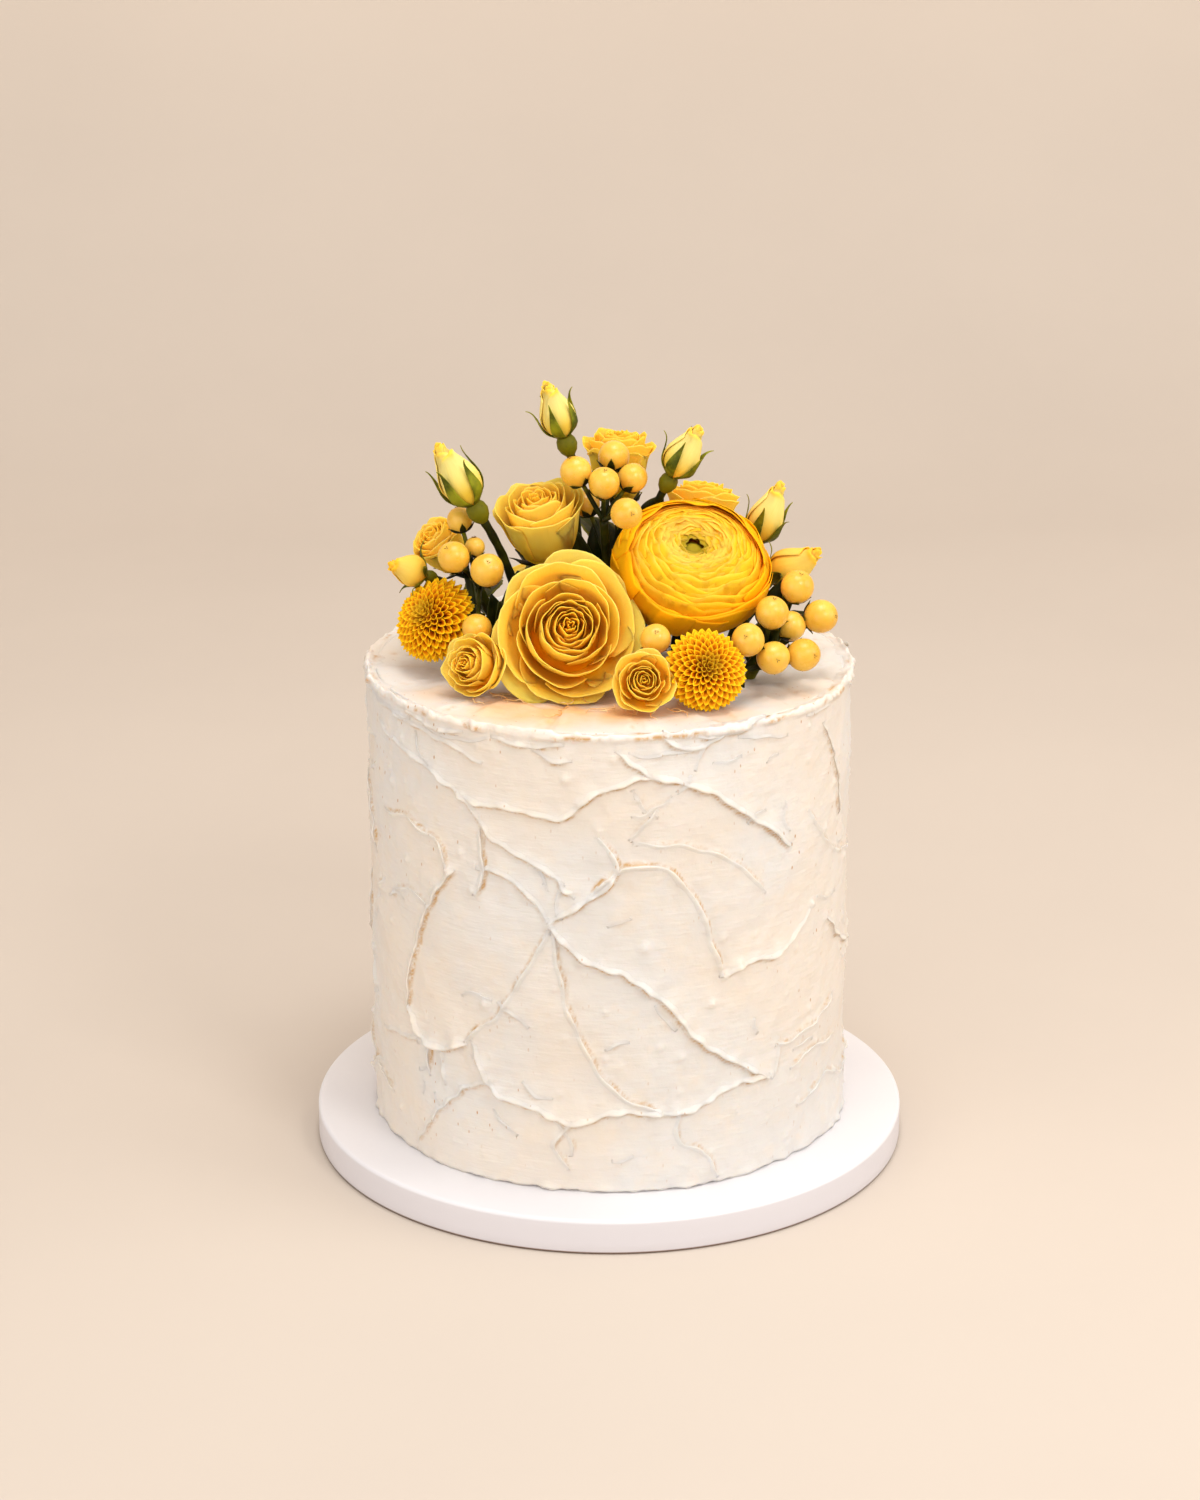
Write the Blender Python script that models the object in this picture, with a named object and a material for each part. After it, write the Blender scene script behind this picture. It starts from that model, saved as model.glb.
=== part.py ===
# A tall round cake iced with a palette knife, on its round drum board, with fresh flowers on its top.
# Metres, +Z up. The origin is the centre of the board's underside, and the front is at -Y.
import math
import random

import bmesh
import bpy
from mathutils import Matrix, Vector, noise

MM = 0.001
TURN = 2 * math.pi
GOLDEN_TURN = math.radians(137.5)
GAP = 0.3 * MM

# Driving dimensions of the board and the cake
BOARD_RADIUS = 101.6 * MM
BOARD_HEIGHT = 12 * MM
BOARD_ROUND = 0.8 * MM
BOARD_SIDES = 60
CAKE_RADIUS = 81.4 * MM
CAKE_HEIGHT = 157.5 * MM
CAKE_BASE = BOARD_HEIGHT + GAP
CAKE_TOP = CAKE_BASE + CAKE_HEIGHT
CAKE_SIDES = 80
CAKE_ROWS = 13

# The palette knife's work on the icing
STROKE_RISE = 2.0 * MM
STROKE_WIDTH = 4.0 * MM
ICING_WAVE = 0.9 * MM
ICING_WAVE_SIZE = 26 * MM
ICING_SINK = 0.6 * MM
OTHER_STROKES = 26
LIP_RISE = 1.3 * MM
LIP_WIDTH = 3.2 * MM

# The lip round the cake's top: inset in lip widths, rise in lip rises
LIP_OUTLINE = ((0.5, 1.0), (1.0, 0.8), (2.2, 0.0))
LIP_UNEVEN = (0.6, 0.8)
LIP_WAVES = 4

# Finishes: colour, roughness
FINISHES = {
    "board_card": ((0.86, 0.85, 0.86), 0.45),
    "icing": ((0.93, 0.86, 0.76), 0.55),
    "rose_petal": ((0.93, 0.60, 0.10), 0.60),
    "ranunculus_petal": ((0.95, 0.58, 0.06), 0.50),
    "daisy_petal": ((0.90, 0.50, 0.03), 0.60),
    "bud_petal": ((0.90, 0.72, 0.28), 0.60),
    "berry_skin": ((0.92, 0.63, 0.16), 0.30),
    "green_stem": ((0.09, 0.13, 0.03), 0.55),
}

# Knife strokes seen on the front: start, middle and end, each as degrees from the front and millimetres
# above the board
FRONT_STROKES = (
    ((-62, 146), (-40, 122), (-22, 86)),
    ((-36, 116), (-18, 104), (-8, 112)),
    ((-4, 120), (18, 128), (46, 96)),
    ((-30, 92), (-20, 84), (-14, 72)),
    ((-14, 72), (-2, 88), (4, 90)),
    ((4, 92), (22, 88), (30, 52)),
    ((-14, 70), (8, 56), (40, 20)),
    ((-32, 62), (-34, 8), (-8, 14)),
    ((-14, 70), (-8, 30), (16, 6)),
    ((-48, 90), (-62, 40), (-44, 30)),
    ((16, 6), (34, 6), (40, 20)),
    ((30, 52), (46, 56), (58, 80)),
)

# Petal shares along the outside of a bloom, from its stem to its rim: radius share, height share
ROSE_SIDE = ((0.24, 0.0), (0.62, 0.10), (0.84, 0.30), (0.90, 0.52))
CUP_SIDE = ((0.22, 0.0), (0.58, 0.08), (0.78, 0.30), (0.84, 0.62))
RANUNCULUS_SIDE = ((0.22, 0.0), (0.70, 0.06), (0.93, 0.22), (1.0, 0.42))

# Whorls of petals from the outside in: rim radius, rim height, then the dip behind it
OPEN_ROSE_WHORLS = (
    (1.00, 0.60, 0.84, 0.52),
    (0.88, 0.74, 0.72, 0.62),
    (0.70, 0.84, 0.55, 0.72),
    (0.50, 0.90, 0.37, 0.78),
    (0.31, 0.93, 0.20, 0.80),
)
CUP_WHORLS = (
    (1.00, 0.90, 0.82, 0.72),
    (0.78, 0.95, 0.64, 0.80),
    (0.56, 0.98, 0.40, 0.84),
    (0.30, 1.00, 0.17, 0.88),
)
SMALL_WHORLS = (
    (1.00, 0.66, 0.78, 0.58),
    (0.74, 0.84, 0.54, 0.72),
    (0.44, 0.94, 0.24, 0.80),
)
RANUNCULUS_RIMS = 6
RANUNCULUS_OUTER = 0.97
RANUNCULUS_INNER = 0.20
RANUNCULUS_STEP = 0.035

# A daisy: its core's and its petals' sizes are shares of its radius, and the core's height of its depth
FLORETS = 26
CORE_RADIUS = 0.66
CORE_HEIGHT = 0.74
CORE_TILTS = (-40, -8, 24, 56)
FLORET_LENGTH = (0.36, 0.50)
FLORET_WIDTH = (0.16, 0.26)
FLORET_THICK = 0.10

# A closed bud's outline: height share, radius share
BUD_OUTLINE = ((0.0, 0.34), (0.13, 0.78), (0.32, 1.0), (0.52, 0.88), (0.72, 0.56), (0.90, 0.33))
BUD_SIDES = 8

# The hip under a bud, from its neck down: radius share, depth in hip radii
HIP_OUTLINE = ((1.0, 0.8), (0.85, 1.5), (0.45, 2.0))
HIP_NECK = 0.62
HIP_END = 2.1
STALK_SHARE = 0.42

# A sepal: its root's depth, its widths up the bud in radians, and where its tip is on the bud
SEPALS = 5
SEPAL_CLEAR = 0.8 * MM
SEPAL_THICK = 0.6 * MM
SEPAL_ROOT = 1.3 * MM
SEPAL_ROOT_REACH = 0.16
SEPAL_WIDTHS = (0.27, 0.54, 0.51, 0.32)
SEPAL_TIP = (0.90, 0.74)

# The cup under a bloom: radius and depth, both in stem radii
CUP_OUTLINE = ((1.7, 1.4), (1.0, 2.4))
CUP_TOP = 2.0
CUP_END = 2.5
CUP_INSIDE = 1.8
STEM_SHARE = 0.9

# Berries, and the branch that ends just short of each
BERRY_TILTS = (-58, -22, 16, 54)
BERRY_POINT = 1.06
BRANCH_CLEAR = 0.5
BRANCH_ROOT = 0.6

# Blooms: node, kind, radius, depth, base, facing (both from the middle of the cake's top, millimetres)
BLOOMS = (
    ("rose_front", "open", 23.6, 27.0, (-15.2, -25.0, 14.6), (0.10, -0.87, 0.48)),
    ("ranunculus", "ranunculus", 25.6, 34.0, (24.8, -2.5, 20.3), (0.10, -0.50, 0.86)),
    ("rose_back_left", "cup", 15.4, 27.0, (-19.9, 8.0, 32.4), (-0.18, -0.31, 0.93)),
    ("rose_top", "cup", 12.2, 25.0, (3.3, 31.0, 46.0), (0.0, 0.08, 1.0)),
    ("rose_back_right", "cup", 13.6, 22.0, (30.7, 30.0, 31.0), (0.05, 0.20, 0.98)),
    ("rose_far_left", "cup", 9.6, 18.0, (-50.5, 15.0, 27.8), (-0.55, -0.28, 0.76)),
    ("spray_rose_left", "small", 10.4, 16.0, (-41.6, -34.6, 7.6), (-0.36, -0.85, 0.40)),
    ("spray_rose_right", "small", 9.6, 13.0, (10.4, -51.9, 7.7), (0.02, -0.90, 0.43)),
    ("spray_rose_back_left", "small", 12.5, 17.0, (-20.0, 38.0, 10.0), (-0.30, 0.80, 0.52)),
    ("spray_rose_back_right", "small", 11.5, 16.0, (15.0, 45.0, 9.0), (0.25, 0.82, 0.50)),
)

# Daisies, the small pompon chrysanthemums: node, radius, depth, base, facing
DAISIES = (
    ("daisy_left", 13.8, 12.0, (-55.2, -10.8, 15.4), (-0.60, -0.64, 0.62)),
    ("daisy_right", 13.0, 11.5, (29.8, -47.4, 10.1), (0.22, -0.82, 0.52)),
)

# Rose buds: node, radius, hip radius, hip, tip, then the points that its stem passes
BUDS = (
    ("bud_a", 7.1, 3.7, (-43.3, -6.0, 52.7), (-56.2, -10.0, 75.9), ((-33.0, 0.0, 29.5), (-29.0, 8.0, 0.0))),
    ("bud_b", 6.2, 3.5, (-14.1, 10.0, 71.3), (-20.9, 6.0, 92.8), ((-12.0, 19.0, 58.0), (-8.0, 22.0, 0.0))),
    ("bud_c", 6.3, 3.2, (19.3, 6.0, 59.4), (29.6, 2.0, 79.3), ((12.0, 14.0, 49.0), (8.0, 18.0, 0.0))),
    ("bud_d", 6.3, 3.0, (50.4, 13.0, 35.0), (57.0, 10.0, 57.9), ((45.0, 14.0, 20.0), (40.0, 12.0, 0.0))),
    ("bud_e", 6.6, 2.8, (52.4, 7.0, 24.8), (69.8, 2.0, 36.9), ((46.0, 6.0, 12.0), (44.0, 6.0, 0.0))),
    ("bud_f", 5.4, 2.2, (-59.4, -3.0, 29.8), (-72.8, -8.0, 35.2), ((-52.0, 0.0, 16.0), (-47.0, 2.0, 0.0))),
)

# Green stems under the blooms: node, bloom, radius, then the points down to the icing
STEMS = (
    ("rose_front_stem", "rose_front", 1.8, ((-16.0, -16.0, 8.0), (-16.0, -10.0, 0.0))),
    ("ranunculus_stem", "ranunculus", 1.9, ((23.0, 4.0, 9.0), (22.0, 6.0, 0.0))),
    ("rose_back_left_stem", "rose_back_left", 1.8, ((-19.0, 10.0, 15.0), (-19.0, 12.0, 0.0))),
    ("rose_top_stem", "rose_top", 1.6, ((3.0, 29.0, 22.0), (2.0, 28.0, 0.0))),
    ("rose_back_right_stem", "rose_back_right", 1.6, ((30.0, 28.0, 14.0), (29.0, 26.0, 0.0))),
    ("rose_far_left_stem", "rose_far_left", 1.4, ((-46.0, 12.0, 14.0), (-44.0, 14.0, 0.0))),
    ("daisy_left_stem", "daisy_left", 1.3, ((-50.0, -4.0, 7.0), (-49.0, -3.0, 0.0))),
)

# Berries: radius, centre, then the stalk that each one grows on and the point of it where its branch starts
BERRIES = (
    (5.2, (-50.9, -16.0, 39.8), "left", 0),
    (5.5, (-40.0, -20.0, 36.5), "left", 0),
    (4.8, (-43.2, -31.0, 20.3), "left", 0),
    (4.3, (-49.5, 0.0, 48.0), "left", 0),
    (3.3, (-44.4, -8.0, 41.0), "left", 0),
    (5.2, (-11.1, 0.0, 64.3), "middle", 0),
    (5.2, (-1.9, -4.0, 61.6), "middle", 0),
    (5.2, (1.4, 10.0, 67.1), "middle", 0),
    (4.9, (7.4, 3.0, 61.6), "middle", 0),
    (5.1, (5.2, -24.0, 56.8), "middle", 0),
    (4.5, (-7.6, 11.0, 50.6), "middle", 1),
    (5.5, (61.4, -16.0, 29.6), "right", 0),
    (5.5, (68.9, -20.0, 20.9), "right", 0),
    (5.4, (52.6, -30.0, 24.9), "right", 1),
    (4.9, (59.0, -22.0, 18.1), "right", 1),
    (5.4, (44.35, -42.6, 19.7), "right", 1),
    (5.4, (52.7, -39.0, 12.7), "right", 1),
    (5.4, (62.7, -34.0, 12.2), "right", 1),
    (4.9, (14.6, -44.5, 20.6), "front", 0),
)

# Berry stalks, as points from the top fork down to the icing
STALKS = {
    "left": ((-43.0, -8.0, 27.0), (-38.0, -2.0, 12.0), (-36.0, 0.0, 0.0)),
    "middle": ((-2.0, 0.0, 48.0), (-1.0, 4.0, 34.0), (0.0, 6.0, 0.0)),
    "right": ((57.0, -12.0, 17.0), (50.0, -22.0, 8.0), (46.0, -20.0, 0.0)),
    "front": ((13.6, -37.0, 12.0), (13.0, -34.0, 6.0), (13.0, -32.0, 0.0)),
}
STALK_RADIUS = 1.7
BRANCH_RADII = (0.8, 0.64)
LEAF_THICK = 0.35 * MM
LEAF_ARCH = 0.10
LEAF_FOLD = 0.25
LEAF_ENDS = (0.03, 0.97)
LEAF_FULL = 0.8
LEAF_WAVE = 0.6 * MM
LEAF_WAVES = 5

# Leaves that grow on the stems: stem, base, tip, width
STEM_LEAVES = (
    ("rose_top_stem", (3.0, 29.3, 26.0), (-12.0, 46.0, 38.0), 13.0),
    ("rose_top_stem", (2.8, 28.9, 20.0), (18.0, 48.0, 33.0), 14.0),
    ("rose_back_right_stem", (30.2, 28.4, 17.0), (50.0, 34.0, 27.0), 13.0),
    ("rose_back_right_stem", (30.0, 28.0, 13.0), (38.0, 50.0, 14.0), 12.0),
    ("rose_back_left_stem", (-19.0, 10.1, 16.0), (-26.0, 32.0, 27.0), 13.0),
    ("rose_far_left_stem", (-46.3, 12.3, 15.0), (-38.0, 34.0, 18.0), 12.0),
)

# Leaves that stand in the icing: base, tip, then the upward side, width
LEAVES = (
    ("leaf_middle", (-3.0, 13.0, 22.0), (-5.0, 12.0, 45.0), (-0.2, -1.0, 0.2), 7.0),
    ("leaf_left", (-32.0, -12.0, 4.0), (-36.0, -24.0, 27.0), (0.2, -1.0, 0.5), 13.0),
    ("leaf_right", (50.0, 0.0, 3.0), (70.0, 2.0, 15.0), (-0.4, -0.6, 0.8), 13.0),
    ("leaf_back", (2.0, 40.0, 3.0), (-4.0, 62.0, 8.0), (0.0, 0.2, 1.0), 14.0),
)


def between(ends, share):
    """The value at that share of the way from one end to the other."""
    return ends[0] + (ends[1] - ends[0]) * share


def at_top(point):
    """A point in millimetres from the middle of the cake's top, as metres in the part's frame."""
    x, y, z = point
    return Vector((x * MM, y * MM, CAKE_TOP + z * MM))


def finish(name):
    """The material of that name, made on first use."""
    if name in bpy.data.materials:
        return bpy.data.materials[name]
    colour, roughness = FINISHES[name]
    material = bpy.data.materials.new(name)
    material.use_nodes = True
    shader = material.node_tree.nodes["Principled BSDF"]
    shader.inputs["Base Color"].default_value = (*colour, 1)
    shader.inputs["Roughness"].default_value = roughness
    shader.inputs["Metallic"].default_value = 0
    return material


def add_object(name, bm, material, place=None, collection=None):
    """A smooth-shaded object made from bm, which stands at place."""
    bmesh.ops.recalc_face_normals(bm, faces=bm.faces)
    mesh = bpy.data.meshes.new(name)
    bm.to_mesh(mesh)
    bm.free()
    mesh.materials.append(finish(material))
    mesh.shade_smooth()
    made = bpy.data.objects.new(name, mesh)
    (collection or bpy.context.scene.collection).objects.link(made)
    if place:
        made.matrix_world = place
    return made


def facing(base, direction):
    """The frame at base whose +Z looks along direction."""
    turn = Vector(direction).normalized().to_track_quat("Z", "Y")
    return Matrix.Translation(base) @ turn.to_matrix().to_4x4()


def closed_skin(rings, start, end):
    """A closed surface through rings of points, with one point at each end."""
    bm = bmesh.new()
    loops = [[bm.verts.new(point) for point in ring] for ring in rings]
    first, last = bm.verts.new(start), bm.verts.new(end)
    count = len(rings[0])
    for i in range(count):
        j = (i + 1) % count
        bm.faces.new((first, loops[0][j], loops[0][i]))
        bm.faces.new((last, loops[-1][i], loops[-1][j]))
        for low, high in zip(loops, loops[1:]):
            bm.faces.new((low[i], low[j], high[j], high[i]))
    return bm


def around(reach, angle, height):
    """A point at that distance and angle from the upright axis."""
    return Vector((reach * math.cos(angle), reach * math.sin(angle), height))


def round_ring(radius, height, sides, waves=0, wave=0.0, lift=0.0, phase=0.0):
    """A ring of points whose radius and height may rise and fall round it."""
    ring = []
    for i in range(sides):
        angle = TURN * i / sides
        swell = math.cos(waves * angle + phase)
        ring.append(around(radius + wave * swell, angle, height + lift * swell))
    return ring


def join_parts(core, parts):
    """Fuses the parts in that collection onto core, and removes them."""
    union = core.modifiers.new("union", "BOOLEAN")
    union.operation = "UNION"
    union.operand_type = "COLLECTION"
    union.collection = parts
    union.solver = "EXACT"
    bpy.context.view_layer.update()
    evaluated = core.evaluated_get(bpy.context.evaluated_depsgraph_get())
    fused = bpy.data.meshes.new_from_object(evaluated)
    core.modifiers.clear()
    core.data = fused
    for part in list(parts.objects):
        bpy.data.objects.remove(part)
    bpy.data.collections.remove(parts)
    return core


def parts_collection(name):
    """A new collection for the parts that are fused onto a core."""
    parts = bpy.data.collections.new(name)
    bpy.context.scene.collection.children.link(parts)
    return parts


def tube(points, radii, sides, level_foot=False):
    """A round tube through the points, closed at both ends. A level foot stands flat on the icing."""
    rings = []
    for i, point in enumerate(points):
        ahead = points[min(i + 1, len(points) - 1)] - points[max(i - 1, 0)]
        if level_foot and point is points[-1]:
            ahead = Vector((0, 0, -1))
        place = facing(point, ahead)
        rings.append([place @ corner for corner in round_ring(radii[i], 0, sides)])
    return closed_skin(rings, points[0], points[-1])


# The board


def make_board():
    """The drum board: a flat disc with slightly rounded edges."""
    inner = BOARD_RADIUS - BOARD_ROUND
    rings = [
        round_ring(inner, 0, BOARD_SIDES),
        round_ring(BOARD_RADIUS, BOARD_ROUND, BOARD_SIDES),
        round_ring(BOARD_RADIUS, BOARD_HEIGHT - BOARD_ROUND, BOARD_SIDES),
        round_ring(inner, BOARD_HEIGHT, BOARD_SIDES),
    ]
    board = closed_skin(rings, (0, 0, 0), (0, 0, BOARD_HEIGHT))
    made = add_object("board", board, "board_card")
    made.data.set_sharp_from_angle(angle=math.radians(30))


# The iced cake


def all_strokes():
    """The front's strokes, then strokes round the rest of the side by a seeded rule."""
    strokes = [[Vector(point) for point in stroke] for stroke in FRONT_STROKES]
    draw = random.Random(7)
    for i in range(OTHER_STROKES):
        start = Vector((72 + 216 * (i * 0.618 % 1), 12 + 130 * draw.random()))
        bend = Vector((draw.uniform(6, 22), draw.uniform(-34, 30)))
        end = Vector((draw.uniform(20, 38), draw.uniform(-46, 20)))
        strokes.append([start, start + bend, start + end])
    return strokes


def stroke_points(stroke, steps=14):
    """Points along a stroke's curve, as arc length round the cake and height, both in metres."""
    start, middle, end = stroke
    arc = math.radians(1) * CAKE_RADIUS
    points = []
    for i in range(steps + 1):
        t = i / steps
        point = start * (1 - t) ** 2 + middle * (2 * t * (1 - t)) + end * t**2
        points.append(Vector((point.x * arc, point.y * MM)))
    return points


def stroke_relief(across, height, curves):
    """How far the knife's ridges stand out at that place on the side."""
    whole = TURN * CAKE_RADIUS
    nearest = min(
        (((across - point.x + whole / 2) % whole - whole / 2) ** 2 + (height - point.y) ** 2)
        for curve in curves
        for point in curve
    )
    return STROKE_RISE * math.exp(-nearest / STROKE_WIDTH**2)


def icing_wave(point):
    """The slow unevenness of hand-spread icing."""
    return ICING_WAVE * noise.noise(point / ICING_WAVE_SIZE)


def lip_ring(inset, rise):
    """One uneven ring of the lip round the cake's top."""
    least, more = LIP_UNEVEN
    ring = []
    for i in range(CAKE_SIDES):
        angle = TURN * (i + 0.5) / CAKE_SIDES
        x, y = math.cos(angle), math.sin(angle)
        reach = CAKE_RADIUS - inset + icing_wave(Vector((x, y, 1)) * CAKE_RADIUS) / 2
        uneven = least + more * noise.noise(Vector((x, y, 3)) * LIP_WAVES)
        ring.append(Vector((reach * x, reach * y, CAKE_TOP + rise * uneven)))
    return ring


def make_cake():
    """The cake and its icing as one solid, with the knife's ridges and a lip at the rim."""
    curves = [stroke_points(stroke) for stroke in all_strokes()]
    rings = []
    for row in range(CAKE_ROWS + 1):
        share = row / CAKE_ROWS
        ring = []
        for i in range(CAKE_SIDES):
            angle = TURN * (i + 0.5 * (row % 2)) / CAKE_SIDES
            height = share * CAKE_HEIGHT
            spot = Vector((math.cos(angle), math.sin(angle), 0)) * CAKE_RADIUS + Vector((0, 0, height))
            across = (angle + TURN / 4) % TURN * CAKE_RADIUS
            fade = min(1, 4 * share, 6 * (1 - share))
            out = fade * (stroke_relief(across, height, curves) - STROKE_RISE / 2) + icing_wave(spot)
            reach = CAKE_RADIUS - ICING_SINK + out
            ring.append(Vector((reach * math.cos(angle), reach * math.sin(angle), CAKE_BASE + height)))
        rings.append(ring)
    for inset, rise in LIP_OUTLINE:
        rings.append(lip_ring(inset * LIP_WIDTH, rise * LIP_RISE))
    cake = closed_skin(rings, (0, 0, CAKE_BASE), (0, 0, CAKE_TOP))
    add_object("cake", cake, "icing")


# The blooms


def petal_rings(radius, depth, side, whorls, petals, sides):
    """Rings for a bloom: up its outside, then over each whorl's rim and down behind it."""
    wave, lift, rim = 0.035 * radius, 0.03 * depth, 0.04 * radius
    rings = [round_ring(radius * r, depth * z, sides) for r, z in side]
    for k, (rim_r, rim_z, dip_r, dip_z) in enumerate(whorls):
        phase = 2.2 * k
        share = wave * (0.4 + 0.6 * rim_r)
        rings.append(round_ring(radius * rim_r, depth * rim_z, sides, petals, share, lift, phase))
        rings.append(round_ring(radius * rim_r - rim, depth * rim_z, sides, petals, share, lift, phase))
        rings.append(round_ring(radius * dip_r, depth * dip_z, sides))
    return rings


def ranunculus_whorls():
    """Many thin whorls that close over a globe and sink a little at its middle."""
    whorls = []
    for k in range(RANUNCULUS_RIMS):
        share = k / (RANUNCULUS_RIMS - 1)
        rim_r = RANUNCULUS_OUTER - (RANUNCULUS_OUTER - RANUNCULUS_INNER) * share
        rim_z = 0.62 + 0.36 * math.sin(math.pi * min(1, 0.62 * share + 0.02)) - 0.06 * share
        whorls.append((rim_r, rim_z, rim_r - 0.08, rim_z - RANUNCULUS_STEP))
    return whorls


def make_bloom(name, kind, radius, depth, base, direction):
    """One flower head, standing on its base and looking along its direction."""
    radius, depth = radius * MM, depth * MM
    forms = {
        "open": (ROSE_SIDE, OPEN_ROSE_WHORLS, 5, 20, "rose_petal"),
        "cup": (CUP_SIDE, CUP_WHORLS, 4, 13, "rose_petal"),
        "small": (ROSE_SIDE, SMALL_WHORLS, 5, 12, "rose_petal"),
        "ranunculus": (RANUNCULUS_SIDE, ranunculus_whorls(), 4, 22, "ranunculus_petal"),
    }
    side, whorls, petals, sides, material = forms[kind]
    rings = petal_rings(radius, depth, side, whorls, petals, sides)
    heart = whorls[-1][3] + 0.04
    bloom = closed_skin(rings, (0, 0, 0), (0, 0, depth * heart))
    add_object(name, bloom, material, facing(at_top(base), direction))


def floret(length, width, thickness):
    """One narrow petal of a daisy: a flat spike, widest near its end."""
    stations = ((0.0, 0.6), (0.65, 1.0))
    rings = [
        [
            Vector((x * width / 2 * share, y * thickness / 2 * share, length * along))
            for x, y in ((-1, -0.6), (1, -0.6), (0, 1))
        ]
        for along, share in stations
    ]
    return closed_skin(rings, (0, 0, 0), (0, 0, length))


def make_daisy(name, radius, depth, base, direction):
    """A dome of florets set by the golden angle, fused onto a round core."""
    radius, depth = radius * MM, depth * MM
    core_r, core_h = radius * CORE_RADIUS, depth * CORE_HEIGHT
    dome = [
        round_ring(core_r * math.cos(tilt), core_h * (0.42 + 0.58 * math.sin(tilt)), 11)
        for tilt in (math.radians(degrees) for degrees in CORE_TILTS)
    ]
    core = closed_skin(dome, (0, 0, 0), (0, 0, core_h))
    place = facing(at_top(base), direction)
    made = add_object(name, core, "daisy_petal", place)
    parts = parts_collection(name + "_florets")
    for i in range(FLORETS):
        share = (i + 0.5) / FLORETS
        tilt = math.radians(82 - 86 * share**0.8)
        angle = i * GOLDEN_TURN
        out = Vector((math.cos(angle) * math.cos(tilt), math.sin(angle) * math.cos(tilt), math.sin(tilt)))
        root = Vector((out.x * core_r * 0.75, out.y * core_r * 0.75, core_h * (0.40 + 0.42 * out.z)))
        length, width = between(FLORET_LENGTH, share), between(FLORET_WIDTH, share)
        spike = floret(radius * length, radius * width, radius * FLORET_THICK)
        add_object(f"{name}_{i}", spike, "daisy_petal", place @ facing(root, out), parts)
    join_parts(made, parts)


# The rose buds


def make_bud(name, radius, hip_radius, hip, tip):
    """The closed petals of a bud, standing just above its hip."""
    axis = Vector(tip) - Vector(hip)
    length = (axis.length - hip_radius) * MM
    rings = []
    for along, reach in BUD_OUTLINE:
        rings.append(round_ring(radius * MM * reach, length * along, BUD_SIDES))
    petals = closed_skin(rings, (0, 0, 0), (0, 0, length))
    base = at_top(Vector(hip) + axis.normalized() * hip_radius)
    add_object(name, petals, "bud_petal", facing(base, axis))


def sepal(radius, length, angle, spread):
    """One thin green leaf that hugs the bud from its hip and turns out at its tip."""
    stations = [(-SEPAL_ROOT, SEPAL_ROOT_REACH * radius)]
    for along, reach in BUD_OUTLINE[1:4]:
        stations.append((length * along, radius * reach + SEPAL_CLEAR))
    rings = []
    for (height, reach), width in zip(stations, SEPAL_WIDTHS):
        spots = ((reach, -width / 2), (reach, width / 2), (reach + SEPAL_THICK, 0))
        rings.append([around(out, angle + turn, height) for out, turn in spots])
    tip_reach, tip_along = SEPAL_TIP
    end = around(radius * tip_reach + SEPAL_CLEAR + spread, angle, length * tip_along)
    start = sum(rings[0], Vector()) / 3
    return closed_skin(rings, start, end)


def make_calyx(name, radius, hip_radius, hip, tip, stem):
    """The bud's hip, its sepals and its stem, as one green piece."""
    axis = Vector(tip) - Vector(hip)
    length = (axis.length - hip_radius) * MM
    radius, hip_radius = radius * MM, hip_radius * MM
    base = at_top(Vector(hip) + axis.normalized() * (hip_radius / MM))
    place = facing(base, axis)
    rings = [round_ring(HIP_NECK * hip_radius, -1.4 * GAP, 7)]
    for reach, down in HIP_OUTLINE:
        rings.append(round_ring(reach * hip_radius, -down * hip_radius, 7))
    hip_skin = closed_skin(rings, (0, 0, -GAP), (0, 0, -HIP_END * hip_radius))
    made = add_object(name + "_calyx", hip_skin, "green_stem", place)
    parts = parts_collection(name + "_green")
    for k in range(SEPALS):
        leaf = sepal(radius, length, TURN * k / SEPALS + 0.5, (0.6 + 0.5 * (k % 3)) * MM)
        add_object(f"{name}_sepal_{k}", leaf, "green_stem", place, parts)
    inside = place @ Vector((0, 0, -HIP_OUTLINE[1][1] * hip_radius))
    points = [inside] + [at_top(point) for point in stem]
    points[-1].z += GAP
    stalk = tube(points, [STALK_SHARE * hip_radius] * len(points), 5, level_foot=True)
    add_object(name + "_stalk", stalk, "green_stem", None, parts)
    join_parts(made, parts)


# Stems, stalks, berries and leaves


def make_stem(name, base, direction, radius, points):
    """The green cup under a bloom and the stem that carries it on the icing."""
    radius *= MM
    place = facing(at_top(base), direction)
    rings = [round_ring(CUP_TOP * radius, -2 * GAP, 8)]
    for reach, down in CUP_OUTLINE:
        rings.append(round_ring(reach * radius, -down * radius, 8))
    cup = closed_skin(rings, (0, 0, -GAP), (0, 0, -CUP_END * radius))
    made = add_object(name, cup, "green_stem", place)
    parts = parts_collection(name + "_parts")
    path = [place @ Vector((0, 0, -CUP_INSIDE * radius))] + [at_top(point) for point in points]
    path[-1].z += GAP
    stem = tube(path, [STEM_SHARE * radius] * len(path), 6, level_foot=True)
    add_object(name + "_tube", stem, "green_stem", None, parts)
    for i, (grows_on, start, tip, width) in enumerate(STEM_LEAVES):
        if grows_on == name:
            blade = leaf(at_top(start), at_top(tip), (0, 0, 1), width, 3)
            add_object(f"{name}_leaf_{i}", blade, "green_stem", None, parts)
    join_parts(made, parts)


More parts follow.
